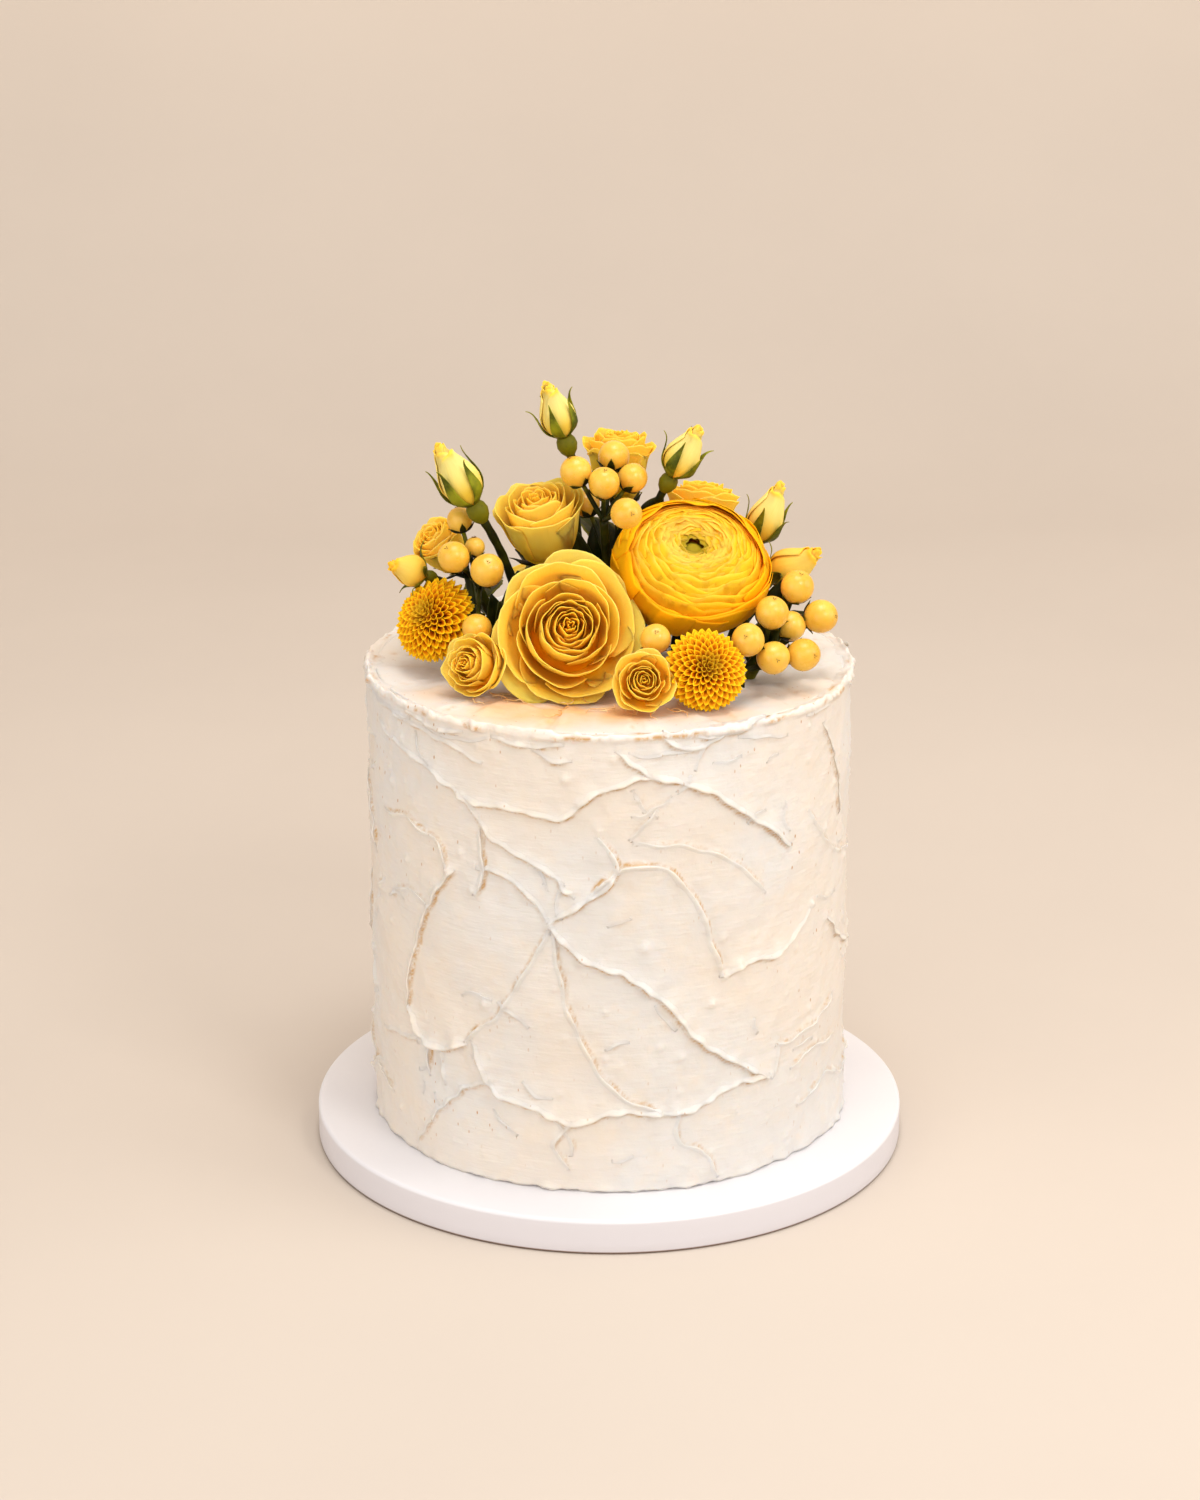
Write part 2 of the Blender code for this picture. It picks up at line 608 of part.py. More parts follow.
def make_berry(name, radius, centre, fork):
    """A round berry with a small point where its flower was, away from its stalk."""
    radius *= MM
    rings = [
        round_ring(radius * math.cos(tilt), radius * math.sin(tilt), 7)
        for tilt in (math.radians(degrees) for degrees in BERRY_TILTS)
    ]
    skin = closed_skin(rings, (0, 0, -radius), (0, 0, radius * BERRY_POINT))
    add_object(name, skin, "berry_skin", facing(at_top(centre), Vector(centre) - Vector(fork)))


def make_stalk(name, points, berries):
    """A thick stalk that rises from the icing and branches to each of its berries."""
    path = [at_top(point) for point in points]
    path[-1].z += GAP
    trunk = tube(path, [STALK_RADIUS * MM] * len(path), 6, level_foot=True)
    made = add_object(name, trunk, "green_stem")
    parts = parts_collection(name + "_branches")
    for i, (radius, centre, fork) in enumerate(berries):
        start, end = Vector(points[fork]), Vector(centre)
        away = (end - start).normalized()
        stop = end - away * (radius + BRANCH_CLEAR)
        root = start - away * BRANCH_ROOT
        branch = tube([at_top(root), at_top(stop)], [radius * MM for radius in BRANCH_RADII], 4)
        add_object(f"{name}_{i}", branch, "green_stem", None, parts)
    join_parts(made, parts)


def leaf(base, tip, up, width, steps):
    """A thin wavy leaf: one grid of points above another, split into triangles alike."""
    along = tip - base
    side = along.cross(Vector(up)).normalized()
    over = side.cross(along).normalized()
    bm = bmesh.new()
    sheets = []
    for level in (0, 1):
        rows = []
        for i in range(steps + 1):
            t = between(LEAF_ENDS, i / steps)
            half = width / 2 * MM * math.sin(math.pi * t**LEAF_FULL) ** LEAF_FULL
            arch = LEAF_ARCH * along.length * math.sin(math.pi * t)
            row = []
            for j in (-1, 0, 1):
                wavy = LEAF_WAVE * math.sin(LEAF_WAVES * t + j) + arch
                fold = LEAF_FOLD * half * abs(j)
                spot = base + along * t + side * half * j + over * (wavy + fold + level * LEAF_THICK)
                row.append(bm.verts.new(spot))
            rows.append(row)
        sheets.append(rows)
    for level, rows in enumerate(sheets):
        for i in range(steps):
            for j in range(2):
                a, b, c, d = rows[i][j], rows[i][j + 1], rows[i + 1][j + 1], rows[i + 1][j]
                for face in ((a, b, c), (a, c, d)):
                    bm.faces.new(face if level else face[::-1])
    low, high = sheets
    edge = [(i, 0) for i in range(steps + 1)] + [(steps, 1)]
    edge += [(i, 2) for i in range(steps, -1, -1)] + [(0, 1)]
    for (i, j), (m, n) in zip(edge, edge[1:] + edge[:1]):
        bm.faces.new((low[i][j], low[m][n], high[m][n], high[i][j]))
    return bm


def main():
    for old in list(bpy.data.objects):
        bpy.data.objects.remove(old)
    make_board()
    make_cake()
    for bloom in BLOOMS:
        make_bloom(*bloom)
    for daisy in DAISIES:
        make_daisy(*daisy)
    for name, radius, hip_radius, hip, tip, stem in BUDS:
        make_bud(name, radius, hip_radius, hip, tip)
        make_calyx(name, radius, hip_radius, hip, tip, stem)
    heads = {name: (base, direction) for name, *_, base, direction in BLOOMS + DAISIES}
    for name, bloom, radius, points in STEMS:
        make_stem(name, *heads[bloom], radius, points)
    for number, (radius, centre, stalk, fork) in enumerate(BERRIES, start=1):
        make_berry(f"berry_{number:02d}", radius, centre, STALKS[stalk][fork])
    for stalk, points in STALKS.items():
        carried = [berry for berry in BERRIES if berry[2] == stalk]
        berries = [(radius, centre, fork) for radius, centre, _, fork in carried]
        make_stalk(f"berry_stalk_{stalk}", points, berries)
    for name, base, tip, up, width in LEAVES:
        add_object(name, leaf(at_top(base), at_top(tip), up, width, 5), "green_stem")


main()
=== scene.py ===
import math

import bpy
import numpy as np
from mathutils import Matrix, Vector


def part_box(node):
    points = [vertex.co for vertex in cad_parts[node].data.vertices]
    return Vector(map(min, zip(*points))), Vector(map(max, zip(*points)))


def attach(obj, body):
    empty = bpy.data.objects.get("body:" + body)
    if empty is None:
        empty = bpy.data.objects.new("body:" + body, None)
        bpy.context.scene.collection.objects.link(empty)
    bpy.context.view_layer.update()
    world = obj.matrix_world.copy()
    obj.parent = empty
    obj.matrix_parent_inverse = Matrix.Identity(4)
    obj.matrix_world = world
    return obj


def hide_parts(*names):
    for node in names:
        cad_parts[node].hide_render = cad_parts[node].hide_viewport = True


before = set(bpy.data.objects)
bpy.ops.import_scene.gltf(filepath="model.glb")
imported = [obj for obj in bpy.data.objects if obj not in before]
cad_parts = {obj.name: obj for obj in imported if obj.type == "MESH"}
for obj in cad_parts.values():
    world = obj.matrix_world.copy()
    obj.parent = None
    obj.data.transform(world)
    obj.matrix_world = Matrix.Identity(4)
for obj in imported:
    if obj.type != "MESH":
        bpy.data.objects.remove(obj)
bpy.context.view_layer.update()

mm = 0.001  # all shapes below are worked out in millimetres
tau = 2 * math.pi
goldenTurn = math.radians(137.508)
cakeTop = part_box("board")[1].z / mm + 157.8  # the flat of the icing, on which the flowers stand


def rgb(red, green, blue):  # a screen colour, 0 to 255, as Blender wants it
    linear = [c / 12.92 if c <= 0.04045 else ((c + 0.055) / 1.055) ** 2.4 for c in (red / 255, green / 255,
            blue / 255)]
    return (*linear, 1.0)


def mixOf(pair, share):
    return pair[0] + (pair[1] - pair[0]) * share


# Node and material helpers

def addNode(tree, kind, inputs=None, **settings):
    made = tree.nodes.new(kind)
    for key, value in settings.items():
        setattr(made, key, value)
    for key, value in (inputs or {}).items():
        if isinstance(value, bpy.types.NodeSocket):
            tree.links.new(value, made.inputs[key])
        else:
            made.inputs[key].default_value = value
    return made


def newMaterial(name, **sockets):
    material = bpy.data.materials.new(name)
    material.use_nodes = True
    shader = material.node_tree.nodes["Principled BSDF"]
    for key, value in sockets.items():
        shader.inputs[key.replace("_", " ")].default_value = value
    return material, material.node_tree, shader


def blendColour(tree, factor, first, second):
    mixer = addNode(tree, "ShaderNodeMix", data_type="RGBA", blend_type="MIX", clamp_factor=True)
    for socket, value in ((mixer.inputs[0], factor), (mixer.inputs[6], first), (mixer.inputs[7], second)):
        if isinstance(value, bpy.types.NodeSocket):
            tree.links.new(value, socket)
        else:
            socket.default_value = value
    return mixer.outputs[2]


def sums(tree, operation, first, second=0.0, clamp=False):
    made = addNode(tree, "ShaderNodeMath", {0: first, 1: second}, operation=operation, use_clamp=clamp)
    return made.outputs[0]


def spread(tree, value, low, high, toLow=0.0, toHigh=1.0):  # a soft step from low to high
    made = addNode(tree, "ShaderNodeMapRange", {"Value": value, "From Min": low, "From Max": high,
                                                "To Min": toLow, "To Max": toHigh},
                                                interpolation_type="SMOOTHSTEP")
    return made.outputs[0]


def objectPlace(tree, stretch=(1, 1, 1), turn=(0, 0, 0)):
    place = addNode(tree, "ShaderNodeTexCoord").outputs["Object"]
    return addNode(tree, "ShaderNodeMapping", {"Vector": place, "Scale": stretch,
                                               "Rotation": turn}).outputs[0]


def noiseOf(tree, place, scale, detail=3.0, roughness=0.5):
    return addNode(tree, "ShaderNodeTexNoise", {"Vector": place, "Scale": scale, "Detail": detail,
                                                "Roughness": roughness}).outputs["Fac"]


def valueOf(tree, name):  # a number that the mesh keeps for each of its points
    return addNode(tree, "ShaderNodeAttribute", attribute_name=name).outputs["Fac"]


def bumpOf(tree, height, strength, distance, under=None):
    inputs = {"Height": height, "Strength": strength, "Distance": distance}
    if under:
        inputs["Normal"] = under
    return addNode(tree, "ShaderNodeBump", inputs).outputs[0]


# Mesh helpers

def makePiece(name, verts, faces, material, values=None):
    mesh = bpy.data.meshes.new(name)
    mesh.from_pydata((np.asarray(verts, float) * mm).tolist(), [], [list(face) for face in faces])
    mesh.polygons.foreach_set("use_smooth", [True] * len(mesh.polygons))
    for key, numbers in (values or {}).items():
        mesh.attributes.new(key, "FLOAT", "POINT").data.foreach_set("value",
                np.asarray(numbers, np.float32).ravel())
    mesh.materials.append(material)
    piece = bpy.data.objects.new(name, mesh)
    bpy.context.scene.collection.objects.link(piece)
    return piece


def standsFor(piece, slot, *nodes):
    if nodes:
        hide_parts(*nodes)
    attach(piece, "root")


def joined(shells):  # several closed shells as one list of points, faces and values
    values = {key: [] for shell in shells for key in shell[2]}
    verts, faces, start = [], [], 0
    for points, loops, numbers in shells:
        verts.append(points)
        faces.extend([[i + start for i in loop] for loop in loops])
        for key, parts in values.items():
            parts.append(np.broadcast_to(numbers.get(key, 0.0), len(points)))
        start += len(points)
    return np.concatenate(verts), faces, {key: np.concatenate(parts) for key, parts in values.items()}


gridLoops = {}


def sheetLoops(rows, columns):  # the faces of a thin sheet with a front, a back and an edge all round
    if (rows, columns) not in gridLoops:
        total = rows * columns
        loops = []
        for i in range(rows - 1):
            for j in range(columns - 1):
                a, d = i * columns + j, (i + 1) * columns + j
                b, c = a + 1, d + 1
                loops += [(a, b, c, d), (d + total, c + total, b + total, a + total)]
        for i in range(rows - 1):
            a, d = i * columns, (i + 1) * columns
            loops.append((a, d, d + total, a + total))
            b, c = a + columns - 1, d + columns - 1
            loops.append((c, b, b + total, c + total))
        last = (rows - 1) * columns
        for j in range(columns - 1):
            loops.append((j + 1, j, j + total, j + 1 + total))
            loops.append((last + j, last + j + 1, last + j + 1 + total, last + j + total))
        gridLoops[rows, columns] = loops
    return gridLoops[rows, columns]


def thinSheet(front, thickness, **values):  # a sheet of rows by columns of points, given its thickness
    rows, columns = front.shape[:2]
    normal = np.cross(np.gradient(front, axis=1), np.gradient(front, axis=0))
    normal /= np.maximum(np.linalg.norm(normal, axis=2, keepdims=True), 1e-9)
    back = front - normal * np.broadcast_to(thickness, (rows, columns))[..., None]
    points = np.concatenate([front.reshape(-1, 3), back.reshape(-1, 3)])
    doubled = {key: np.tile(np.broadcast_to(value, (rows, columns)).ravel(), 2) for key,
               value in values.items()}
    doubled["inside"] = np.repeat([0.0, 1.0], rows * columns)
    return points, sheetLoops(rows, columns), doubled


def closedRings(rings, first, last):  # rings of points, closed by a point at each end
    count, sides = len(rings), len(rings[0])
    points = np.concatenate([np.asarray(first)[None], *rings, np.asarray(last)[None]])
    end = len(points) - 1
    loops = []
    for i in range(sides):
        j = (i + 1) % sides
        loops.append((0, 1 + j, 1 + i))
        loops.append((end, end - sides + i, end - sides + j))
        loops += [(1 + k * sides + i, 1 + k * sides + j, 1 + (k + 1) * sides + j, 1 + (k + 1) * sides + i)
                  for k in range(count - 1)]
    return points, loops, {}


def turned(profile, sides, wobble=None):  # a closed turned solid, its profile given from the bottom up
    angles = np.arange(sides) * tau / sides
    rings = []
    for radius, height in profile[1:-1]:
        reach = radius if wobble is None else radius + wobble(angles, height)
        rings.append(np.stack([reach * np.cos(angles), reach * np.sin(angles), np.full(sides, height)], 1))
    return closedRings(rings, (0, 0, profile[0][1]), (0, 0, profile[-1][1]))


def smoothPath(points, steps):  # a smooth curve through the points, which may lie unevenly
    points = np.asarray(points, float)
    gaps = np.maximum(np.linalg.norm(np.diff(points, axis=0), axis=1), 1e-6)
    knots = np.concatenate([[0], np.cumsum(gaps**0.75)])
    speed = np.diff(points, axis=0) / np.diff(knots)[:, None]
    before, after = np.diff(knots)[:-1, None], np.diff(knots)[1:, None]
    slopes = np.concatenate([speed[:1], (speed[:-1] * after + speed[1:] * before) / (before + after),
                             speed[-1:]])
    place = np.linspace(0, knots[-1], steps)
    k = np.clip(np.searchsorted(knots, place, side="right") - 1, 0, len(points) - 2)
    width = (knots[k + 1] - knots[k])[:, None]
    t = (place - knots[k])[:, None] / width
    return (points[k] * (1 + 2 * t) * (1 - t) ** 2 + slopes[k] * width * t * (1 - t) ** 2
            + points[k + 1] * t**2 * (3 - 2 * t) + slopes[k + 1] * width * t**2 * (t - 1))


def tube(path, radii, sides, **values):  # a round tube along the path, closed at its ends
    path = np.asarray(path, float)
    radii = np.broadcast_to(radii, len(path))
    ahead = np.gradient(path, axis=0)
    ahead /= np.linalg.norm(ahead, axis=1, keepdims=True)
    side = np.cross(ahead[0], (0.3, 0.2, 0.93) if abs(ahead[0][2]) < 0.9 else (1, 0, 0))
    angles = np.arange(sides) * tau / sides
    rings = []
    for place, along, radius in zip(path, ahead, radii):
        side = side - along * side.dot(along)
        side /= np.linalg.norm(side)
        over = np.cross(along, side)
        rings.append(place + radius * (np.cos(angles)[:, None] * side + np.sin(angles)[:, None] * over))
    share = np.concatenate([[0], np.repeat(np.linspace(0, 1, len(path)), sides), [1]])
    points, loops, _ = closedRings(rings, path[0], path[-1])
    return points, loops, {"along": share, **{key: np.broadcast_to(value, len(points)) for key,
                                              value in values.items()}}


def standing(shell, base, facing, roll=0.0):  # a shell turned to look along facing, with its foot at base
    points, loops, values = shell
    turn = Vector(facing).normalized().to_track_quat("Z", "Y").to_matrix() @ Matrix.Rotation(roll, 3, "Z")
    return points @ np.array(turn).T + np.asarray(base, float), loops, values


def onTop(x, y, z):  # millimetres from the middle of the cake's top
    return np.array([x, y, z + cakeTop])


def ripple(draw, u, v, count=4, pitch=3.0):  # a smooth random unevenness over a petal
    total = 0.0
    for _ in range(count):
        a, b, phase = draw.uniform(-pitch, pitch), draw.uniform(-pitch, pitch), draw.uniform(0, tau)
        total = total + np.sin(a * u + b * v + phase)
    return total / count


print("camera and light")
camera = {"place": (-3.2, -1069.5, 503.4), "pitch": 71.12, "lens": 80.16, "sensor": 36.0}
eye = bpy.data.objects.new("camera", bpy.data.cameras.new("camera"))
eye.location = Vector(camera["place"]) * mm
eye.rotation_euler = (math.radians(camera["pitch"]), 0, 0)
eye.data.lens = camera["lens"]
eye.data.sensor_width = camera["sensor"]
bpy.context.scene.collection.objects.link(eye)
bpy.context.scene.camera = eye

lights = {
    "key": {"place": (0.62, -0.90, 1.00), "aim": (0, 0, 0.13), "size": 0.36, "power": 5.2,
            "colour": (1.0, 0.98, 0.95)},
    "fill": {"place": (-1.05, -1.00, 0.42), "aim": (0, 0, 0.15), "size": 1.2, "power": 8.2,
             "colour": (1.0, 0.99, 0.98)},
    "front": {"place": (0.02, -1.40, 0.80), "aim": (0, 0, 0.21), "size": 0.9, "power": 2.9,
              "colour": (1.0, 0.99, 0.97)},
    "right": {"place": (1.10, -0.25, 0.60), "aim": (0, 0, 0.13), "size": 0.7, "power": 4.6,
              "colour": (1.0, 0.98, 0.96)},
    "above": {"place": (0.06, -0.24, 1.35), "aim": (0, 0, 0.13), "size": 0.5, "power": 4.2,
              "colour": (1.0, 0.98, 0.95)},
    "wall": {"place": (0.20, 0.10, 2.20), "aim": (0.10, 1.50, 0.90), "size": 1.4, "power": 19.5,
             "colour": (1.0, 0.98, 0.95)},
}
for name, light in lights.items():
    lamp = bpy.data.lights.new(name, "AREA")
    lamp.size = light["size"]
    lamp.energy = light["power"]
    lamp.color = light["colour"]
    holder = bpy.data.objects.new(name, lamp)
    holder.location = light["place"]
    holder.rotation_euler = (Vector(light["aim"]) - holder.location).to_track_quat("-Z", "Y").to_euler()
    bpy.context.scene.collection.objects.link(holder)

sky = bpy.data.worlds.new("studio")
sky.use_nodes = True
sky.node_tree.nodes["Background"].inputs["Color"].default_value = rgb(247, 240, 233)
sky.node_tree.nodes["Background"].inputs["Strength"].default_value = 0.62
bpy.context.scene.world = sky
bpy.context.scene.view_settings.view_transform = "Standard"

studio = {"width": 5.0, "front": -2.4, "back": 1.5, "height": 2.6, "bend": 0.7, "colour": (199, 187, 175),
          "wall": (239, 218, 196)}


def makeStudio():
    bend = [(studio["back"] - studio["bend"] + studio["bend"] * math.sin(a),
             studio["bend"] * (1 - math.cos(a)))
            for a in np.linspace(0, math.pi / 2, 13)]
    line = [(studio["front"], 0)] + bend + [(studio["back"], studio["height"])]
    half = studio["width"] / 2
    verts = [(x / mm, y / mm, z / mm) for y, z in line for x in (-half, half)]
    faces = [(2 * i, 2 * i + 1, 2 * i + 3, 2 * i + 2) for i in range(len(line) - 1)]
    material, tree, shader = newMaterial("paper_backdrop", Roughness=0.85)
    place = objectPlace(tree)
    rise = addNode(tree, "ShaderNodeSeparateXYZ", {"Vector": place}).outputs["Z"]
    grain = noiseOf(tree, place, 3.0, 4.0)
    paper = blendColour(tree, spread(tree, rise, 0.0, 0.9), rgb(*studio["colour"]), rgb(*studio["wall"]))
    paper = blendColour(tree, spread(tree, grain, 0.3, 0.7, 0.0, 0.06), paper, rgb(250, 236, 220))
    tree.links.new(paper, shader.inputs["Base Color"])
    tree.links.new(bumpOf(tree, noiseOf(tree, place, 900.0, 2.0), 0.05, 0.0005), shader.inputs["Normal"])
    makePiece("backdrop", verts, faces, material)


makeStudio()


print("icing")
icing = {
    "radius": 81.2, "bottom": 12.15, "frontColumns": 344, "backColumns": 184, "rows": 162,
    "frontReach": 97,  # degrees each side of the front that get the closer columns
    "wave": 0.45, "lipRise": 0.75, "seed": 11,
    "folds": 22, "touches": 70, "peaks": 260, "sidePeaks": 110, "peakedStrokes": 70,
    "topRings": 90, "topSides": 260, "rimStrokes": 30, "sweeps": 14,
}
# Knife strokes on the front: degrees from the front and millimetres above the board, then how high its edge
# stands, and the side on which it drops away (1 is left of its run, -1 right)
frontStrokes = [
    {"run": [(-69, 146), (-45, 138), (-34, 130), (-29, 122), (-13, 110), (-8, 103)], "rise": 1.0,
     "drop": -1},
    {"run": [(-72, 154), (-56, 152), (-40, 149), (-30, 145)], "rise": 0.7, "drop": -1},
    {"run": [(-32, 109), (-22, 107), (-14, 94)], "rise": 0.9, "drop": -1},
    {"run": [(-3, 124), (2, 113), (-5, 103), (-14, 93)], "rise": 1.2, "drop": 1},
    {"run": [(-36, 132), (-22, 131), (-9, 131), (-4, 138), (6, 143), (15, 142), (30, 130), (46, 112)],
     "rise": 1.3, "drop": -1},
    {"run": [(1, 153), (6, 147), (11, 142)], "rise": 1.0, "drop": -1},
    {"run": [(11, 158), (17, 152), (28, 156)], "rise": 0.9, "drop": -1},
    {"run": [(5, 122), (19, 119), (30, 111), (38, 99)], "rise": 0.7, "drop": 1},
    {"run": [(-4, 104), (3, 114), (13, 112), (21, 97), (24, 84), (27, 73)], "rise": 1.2, "drop": 1},
    {"run": [(27, 73), (34, 76), (45, 77), (55, 88)], "rise": 1.1, "drop": -1},
    {"run": [(-14, 93), (-7, 83), (4, 76), (13, 66), (20, 53), (30, 42), (40, 33)], "rise": 1.3,
     "drop": -1},
    {"run": [(-33, 48), (-30, 35), (-20, 29), (-8, 25), (4, 29), (17, 27), (28, 33), (40, 34)],
     "rise": 1.3, "drop": -1},
    {"run": [(-14, 92), (-20, 75), (-26, 61), (-36, 47)], "rise": 0.8, "drop": -1},
    {"run": [(-13, 91), (-11, 73), (-6, 52), (2, 35), (12, 28)], "rise": 0.9, "drop": 1},
    {"run": [(-38, 107), (-46, 92), (-53, 66), (-55, 51)], "rise": 1.2, "drop": 1},
    {"run": [(-55, 52), (-49, 43), (-42, 42), (-35, 47)], "rise": 1.9, "drop": -1},
    {"run": [(-48, 42), (-48, 38), (-47, 30)], "rise": 1.2, "drop": 1},
    {"run": [(-43, 41), (-43, 37), (-42, 29)], "rise": 1.2, "drop": -1},
    {"run": [(-51, 43), (-52, 39)], "rise": 0.7, "drop": 1},
    {"run": [(-62, 90), (-53, 94), (-46, 90)], "rise": 0.6, "drop": 1},
    {"run": [(-67, 92), (-76, 74), (-80, 60), (-75, 46)], "rise": 1.0, "drop": -1},
    {"run": [(-70, 36), (-58, 40), (-49, 41)], "rise": 0.7, "drop": -1},
    {"run": [(-29, 35), (-38, 28), (-45, 17), (-52, 4)], "rise": 0.8, "drop": 1},
    {"run": [(-8, 25), (-13, 16), (-9, 8)], "rise": 0.8, "drop": 1},
    {"run": [(16, 27), (16, 18), (22, 12), (26, 2)], "rise": 0.7, "drop": 1},
    {"run": [(68, 50), (55, 44), (42, 43)], "rise": 0.8, "drop": -1},
    {"run": [(70, 33), (56, 36), (47, 33)], "rise": 0.8, "drop": -1},
    {"run": [(-66, 117), (-53, 118), (-43, 114), (-40, 106)], "rise": 0.9, "drop": 1},
    {"run": [(-88, 122), (-76, 110), (-72, 98)], "rise": 0.9, "drop": 1},
    {"run": [(-31, 123), (-30, 110), (-32, 99)], "rise": 1.1, "drop": 1},
    {"run": [(58, 150), (66, 132), (70, 112)], "rise": 0.8, "drop": -1},
    {"run": [(52, 122), (64, 104), (82, 96)], "rise": 0.8, "drop": 1},
    {"run": [(62, 80), (74, 66), (88, 60)], "rise": 0.8, "drop": -1},
    {"run": [(50, 18), (64, 22), (80, 14)], "rise": 0.7, "drop": 1},
    {"run": [(-92, 30), (-80, 20), (-64, 16)], "rise": 0.8, "drop": 1},
    {"run": [(-92, 150), (-84, 141), (-72, 138)], "rise": 0.8, "drop": -1},
]


# Knobs where the knife lifted off, degrees from the front and millimetres above the board
knobs = [(27, 73), (31, 76), (-14, 93), (40, 33), (-54, 50), (-33, 101), (-40, 106), (-10, 143), (0, 110),
         (8, 86), (24, 64), (-30, 62),
         (55, 88), (66, 126), (61, 112), (74, 96), (-62, 128), (-70, 90), (-79, 60), (-84, 34), (58, 38),
         (70, 20), (-60, 12)]


def allStrokes():  # the front's, then the same mirrored to the back and shifted
    draw = np.random.default_rng(icing["seed"])
    strokes = list(frontStrokes)
    for stroke in frontStrokes:
        shift = np.array([draw.uniform(-7, 7), draw.uniform(-9, 9)])
        lean = draw.uniform(0.8, 1.2)
        run = [(180 - a * lean + shift[0], min(156, max(2, z + shift[1]))) for a, z in stroke["run"]]
        strokes.append({"run": run, "rise": stroke["rise"] * draw.uniform(0.8, 1.15),
                        "drop": -stroke["drop"]})
    for turn in range(icing["folds"]):  # ragged folds where the icing is pushed over the rim
        start = -176 + 16.3 * turn + draw.uniform(-7, 7)
        height, wide = draw.uniform(151, 157), draw.uniform(4, 13)
        run = [(start, height + draw.uniform(-1, 3)), (start + wide, height - draw.uniform(0, 2)),
               (start + 2 * wide, height + draw.uniform(-2, 3))]
        strokes.append({"run": run, "rise": draw.uniform(0.2, 0.9), "drop": -1})
    for _ in range(icing["touches"]):  # short touches of the knife's tip
        a, z = draw.uniform(-180, 180), draw.uniform(6, 150)
        heading, length = draw.uniform(0, tau), draw.uniform(5, 15)
        bend = draw.uniform(-0.7, 0.7)
        step = lambda h, l: np.array([math.degrees(l * math.cos(h) / icing["radius"]), l * math.sin(h)])
        middle = np.array([a, z]) + step(heading, length / 2)
        run = [(a, z), tuple(middle), tuple(middle + step(heading + bend, length / 2))]
        rise = draw.uniform(0.25, 0.6)
        strokes.append({"run": run, "rise": rise, "drop": 1 if draw.random() < 0.5 else -1})
    return strokes


def layStrokes(places, strokes, wrap, draw):  # the height that strokes leave, and where painted shade lies at the foot of each lip
    edge, slope, creaseShade = (np.zeros(len(places)) for _ in range(3))
    laid = []
    for stroke in strokes:
        path = smoothPath(stroke["run"], 4 + 14 * len(stroke["run"]))
        length = np.linalg.norm(np.diff(path, axis=0), axis=1).sum()
        path = smoothPath(stroke["run"], max(8, int(length / 0.7)))
        t = np.linspace(0, 1, len(path))
        wobble = sum(draw.uniform(0.10, 0.28) * np.sin(tau * t * length / draw.uniform(7, 28)
                                                       + draw.uniform(0, tau)) for _ in range(4))
        ahead = np.gradient(path, axis=0)
        ahead /= np.maximum(np.linalg.norm(ahead, axis=1, keepdims=True), 1e-9)
        left = np.stack([-ahead[:, 1], ahead[:, 0]], 1)
        path = path + left * wobble[:, None]
        ragged = 0.9 + sum(draw.uniform(0.08, 0.20) * np.sin(tau * t * length / draw.uniform(5, 16)
                + draw.uniform(0, tau)) for _ in range(4))
        ends = np.clip(np.minimum(t * length / 5.0, (1 - t) * length / 4.0), 0, 1) ** 0.7
        rise = stroke["rise"] * ragged * ends
        laid.append({"path": path, "left": left, "rise": rise, "drop": stroke["drop"]})
        reach = 15.0
        low, high = path.min(0) - reach, path.max(0) + reach
        for offset in ((-wrap, 0, wrap) if wrap else (0,)):
            x, y = places[:, 0] + offset, places[:, 1]
            near = np.nonzero((x > low[0]) & (x < high[0]) & (y > low[1]) & (y < high[1]))[0]
            if not len(near):
                continue
            here = np.stack([x[near], y[near]], 1)
            best, which = np.full(len(near), 1e9), np.zeros(len(near), int)
            for start in range(0, len(path), 64):
                gap = ((here[:, None, :] - path[None, start:start + 64]) ** 2).sum(2)
                k = gap.argmin(1)
                smaller = gap[np.arange(len(near)), k]
                closer = smaller < best
                best[closer], which[closer] = smaller[closer], k[closer] + start
            away = here - path[which]
            across = np.clip((away * left[which]).sum(1) * stroke["drop"], -reach, reach)
            gap = np.sqrt(best)
            gap = np.where(across > 0, gap, -gap)
            steep = np.exp(-(np.maximum(gap, 0) / 0.75) ** 2)
            behind = np.minimum(gap, 0)
            gentle = 0.30 * np.exp(-(behind / 1.4) ** 2) + 0.70 * np.exp(behind / 4.2)
            raised = rise[which] * np.where(gap > 0, steep, gentle)
            scoop = -0.5 * rise[which] * np.where(gap > 0,
                                                  np.exp(-gap / 7.0) * (1 - np.exp(-(gap / 1.2) ** 2)), 0)
            edge[near] = np.maximum(edge[near], raised)
            slope[near] += scoop
            # painted shade: a thin tan line just past the steep side of each lip, where its shadow falls
            mark = np.exp(-((gap - 0.9) / 0.6) ** 2) * np.clip(rise[which], 0, 1.2)
            creaseShade[near] = np.maximum(creaseShade[near], mark)
    return edge + slope, creaseShade, laid


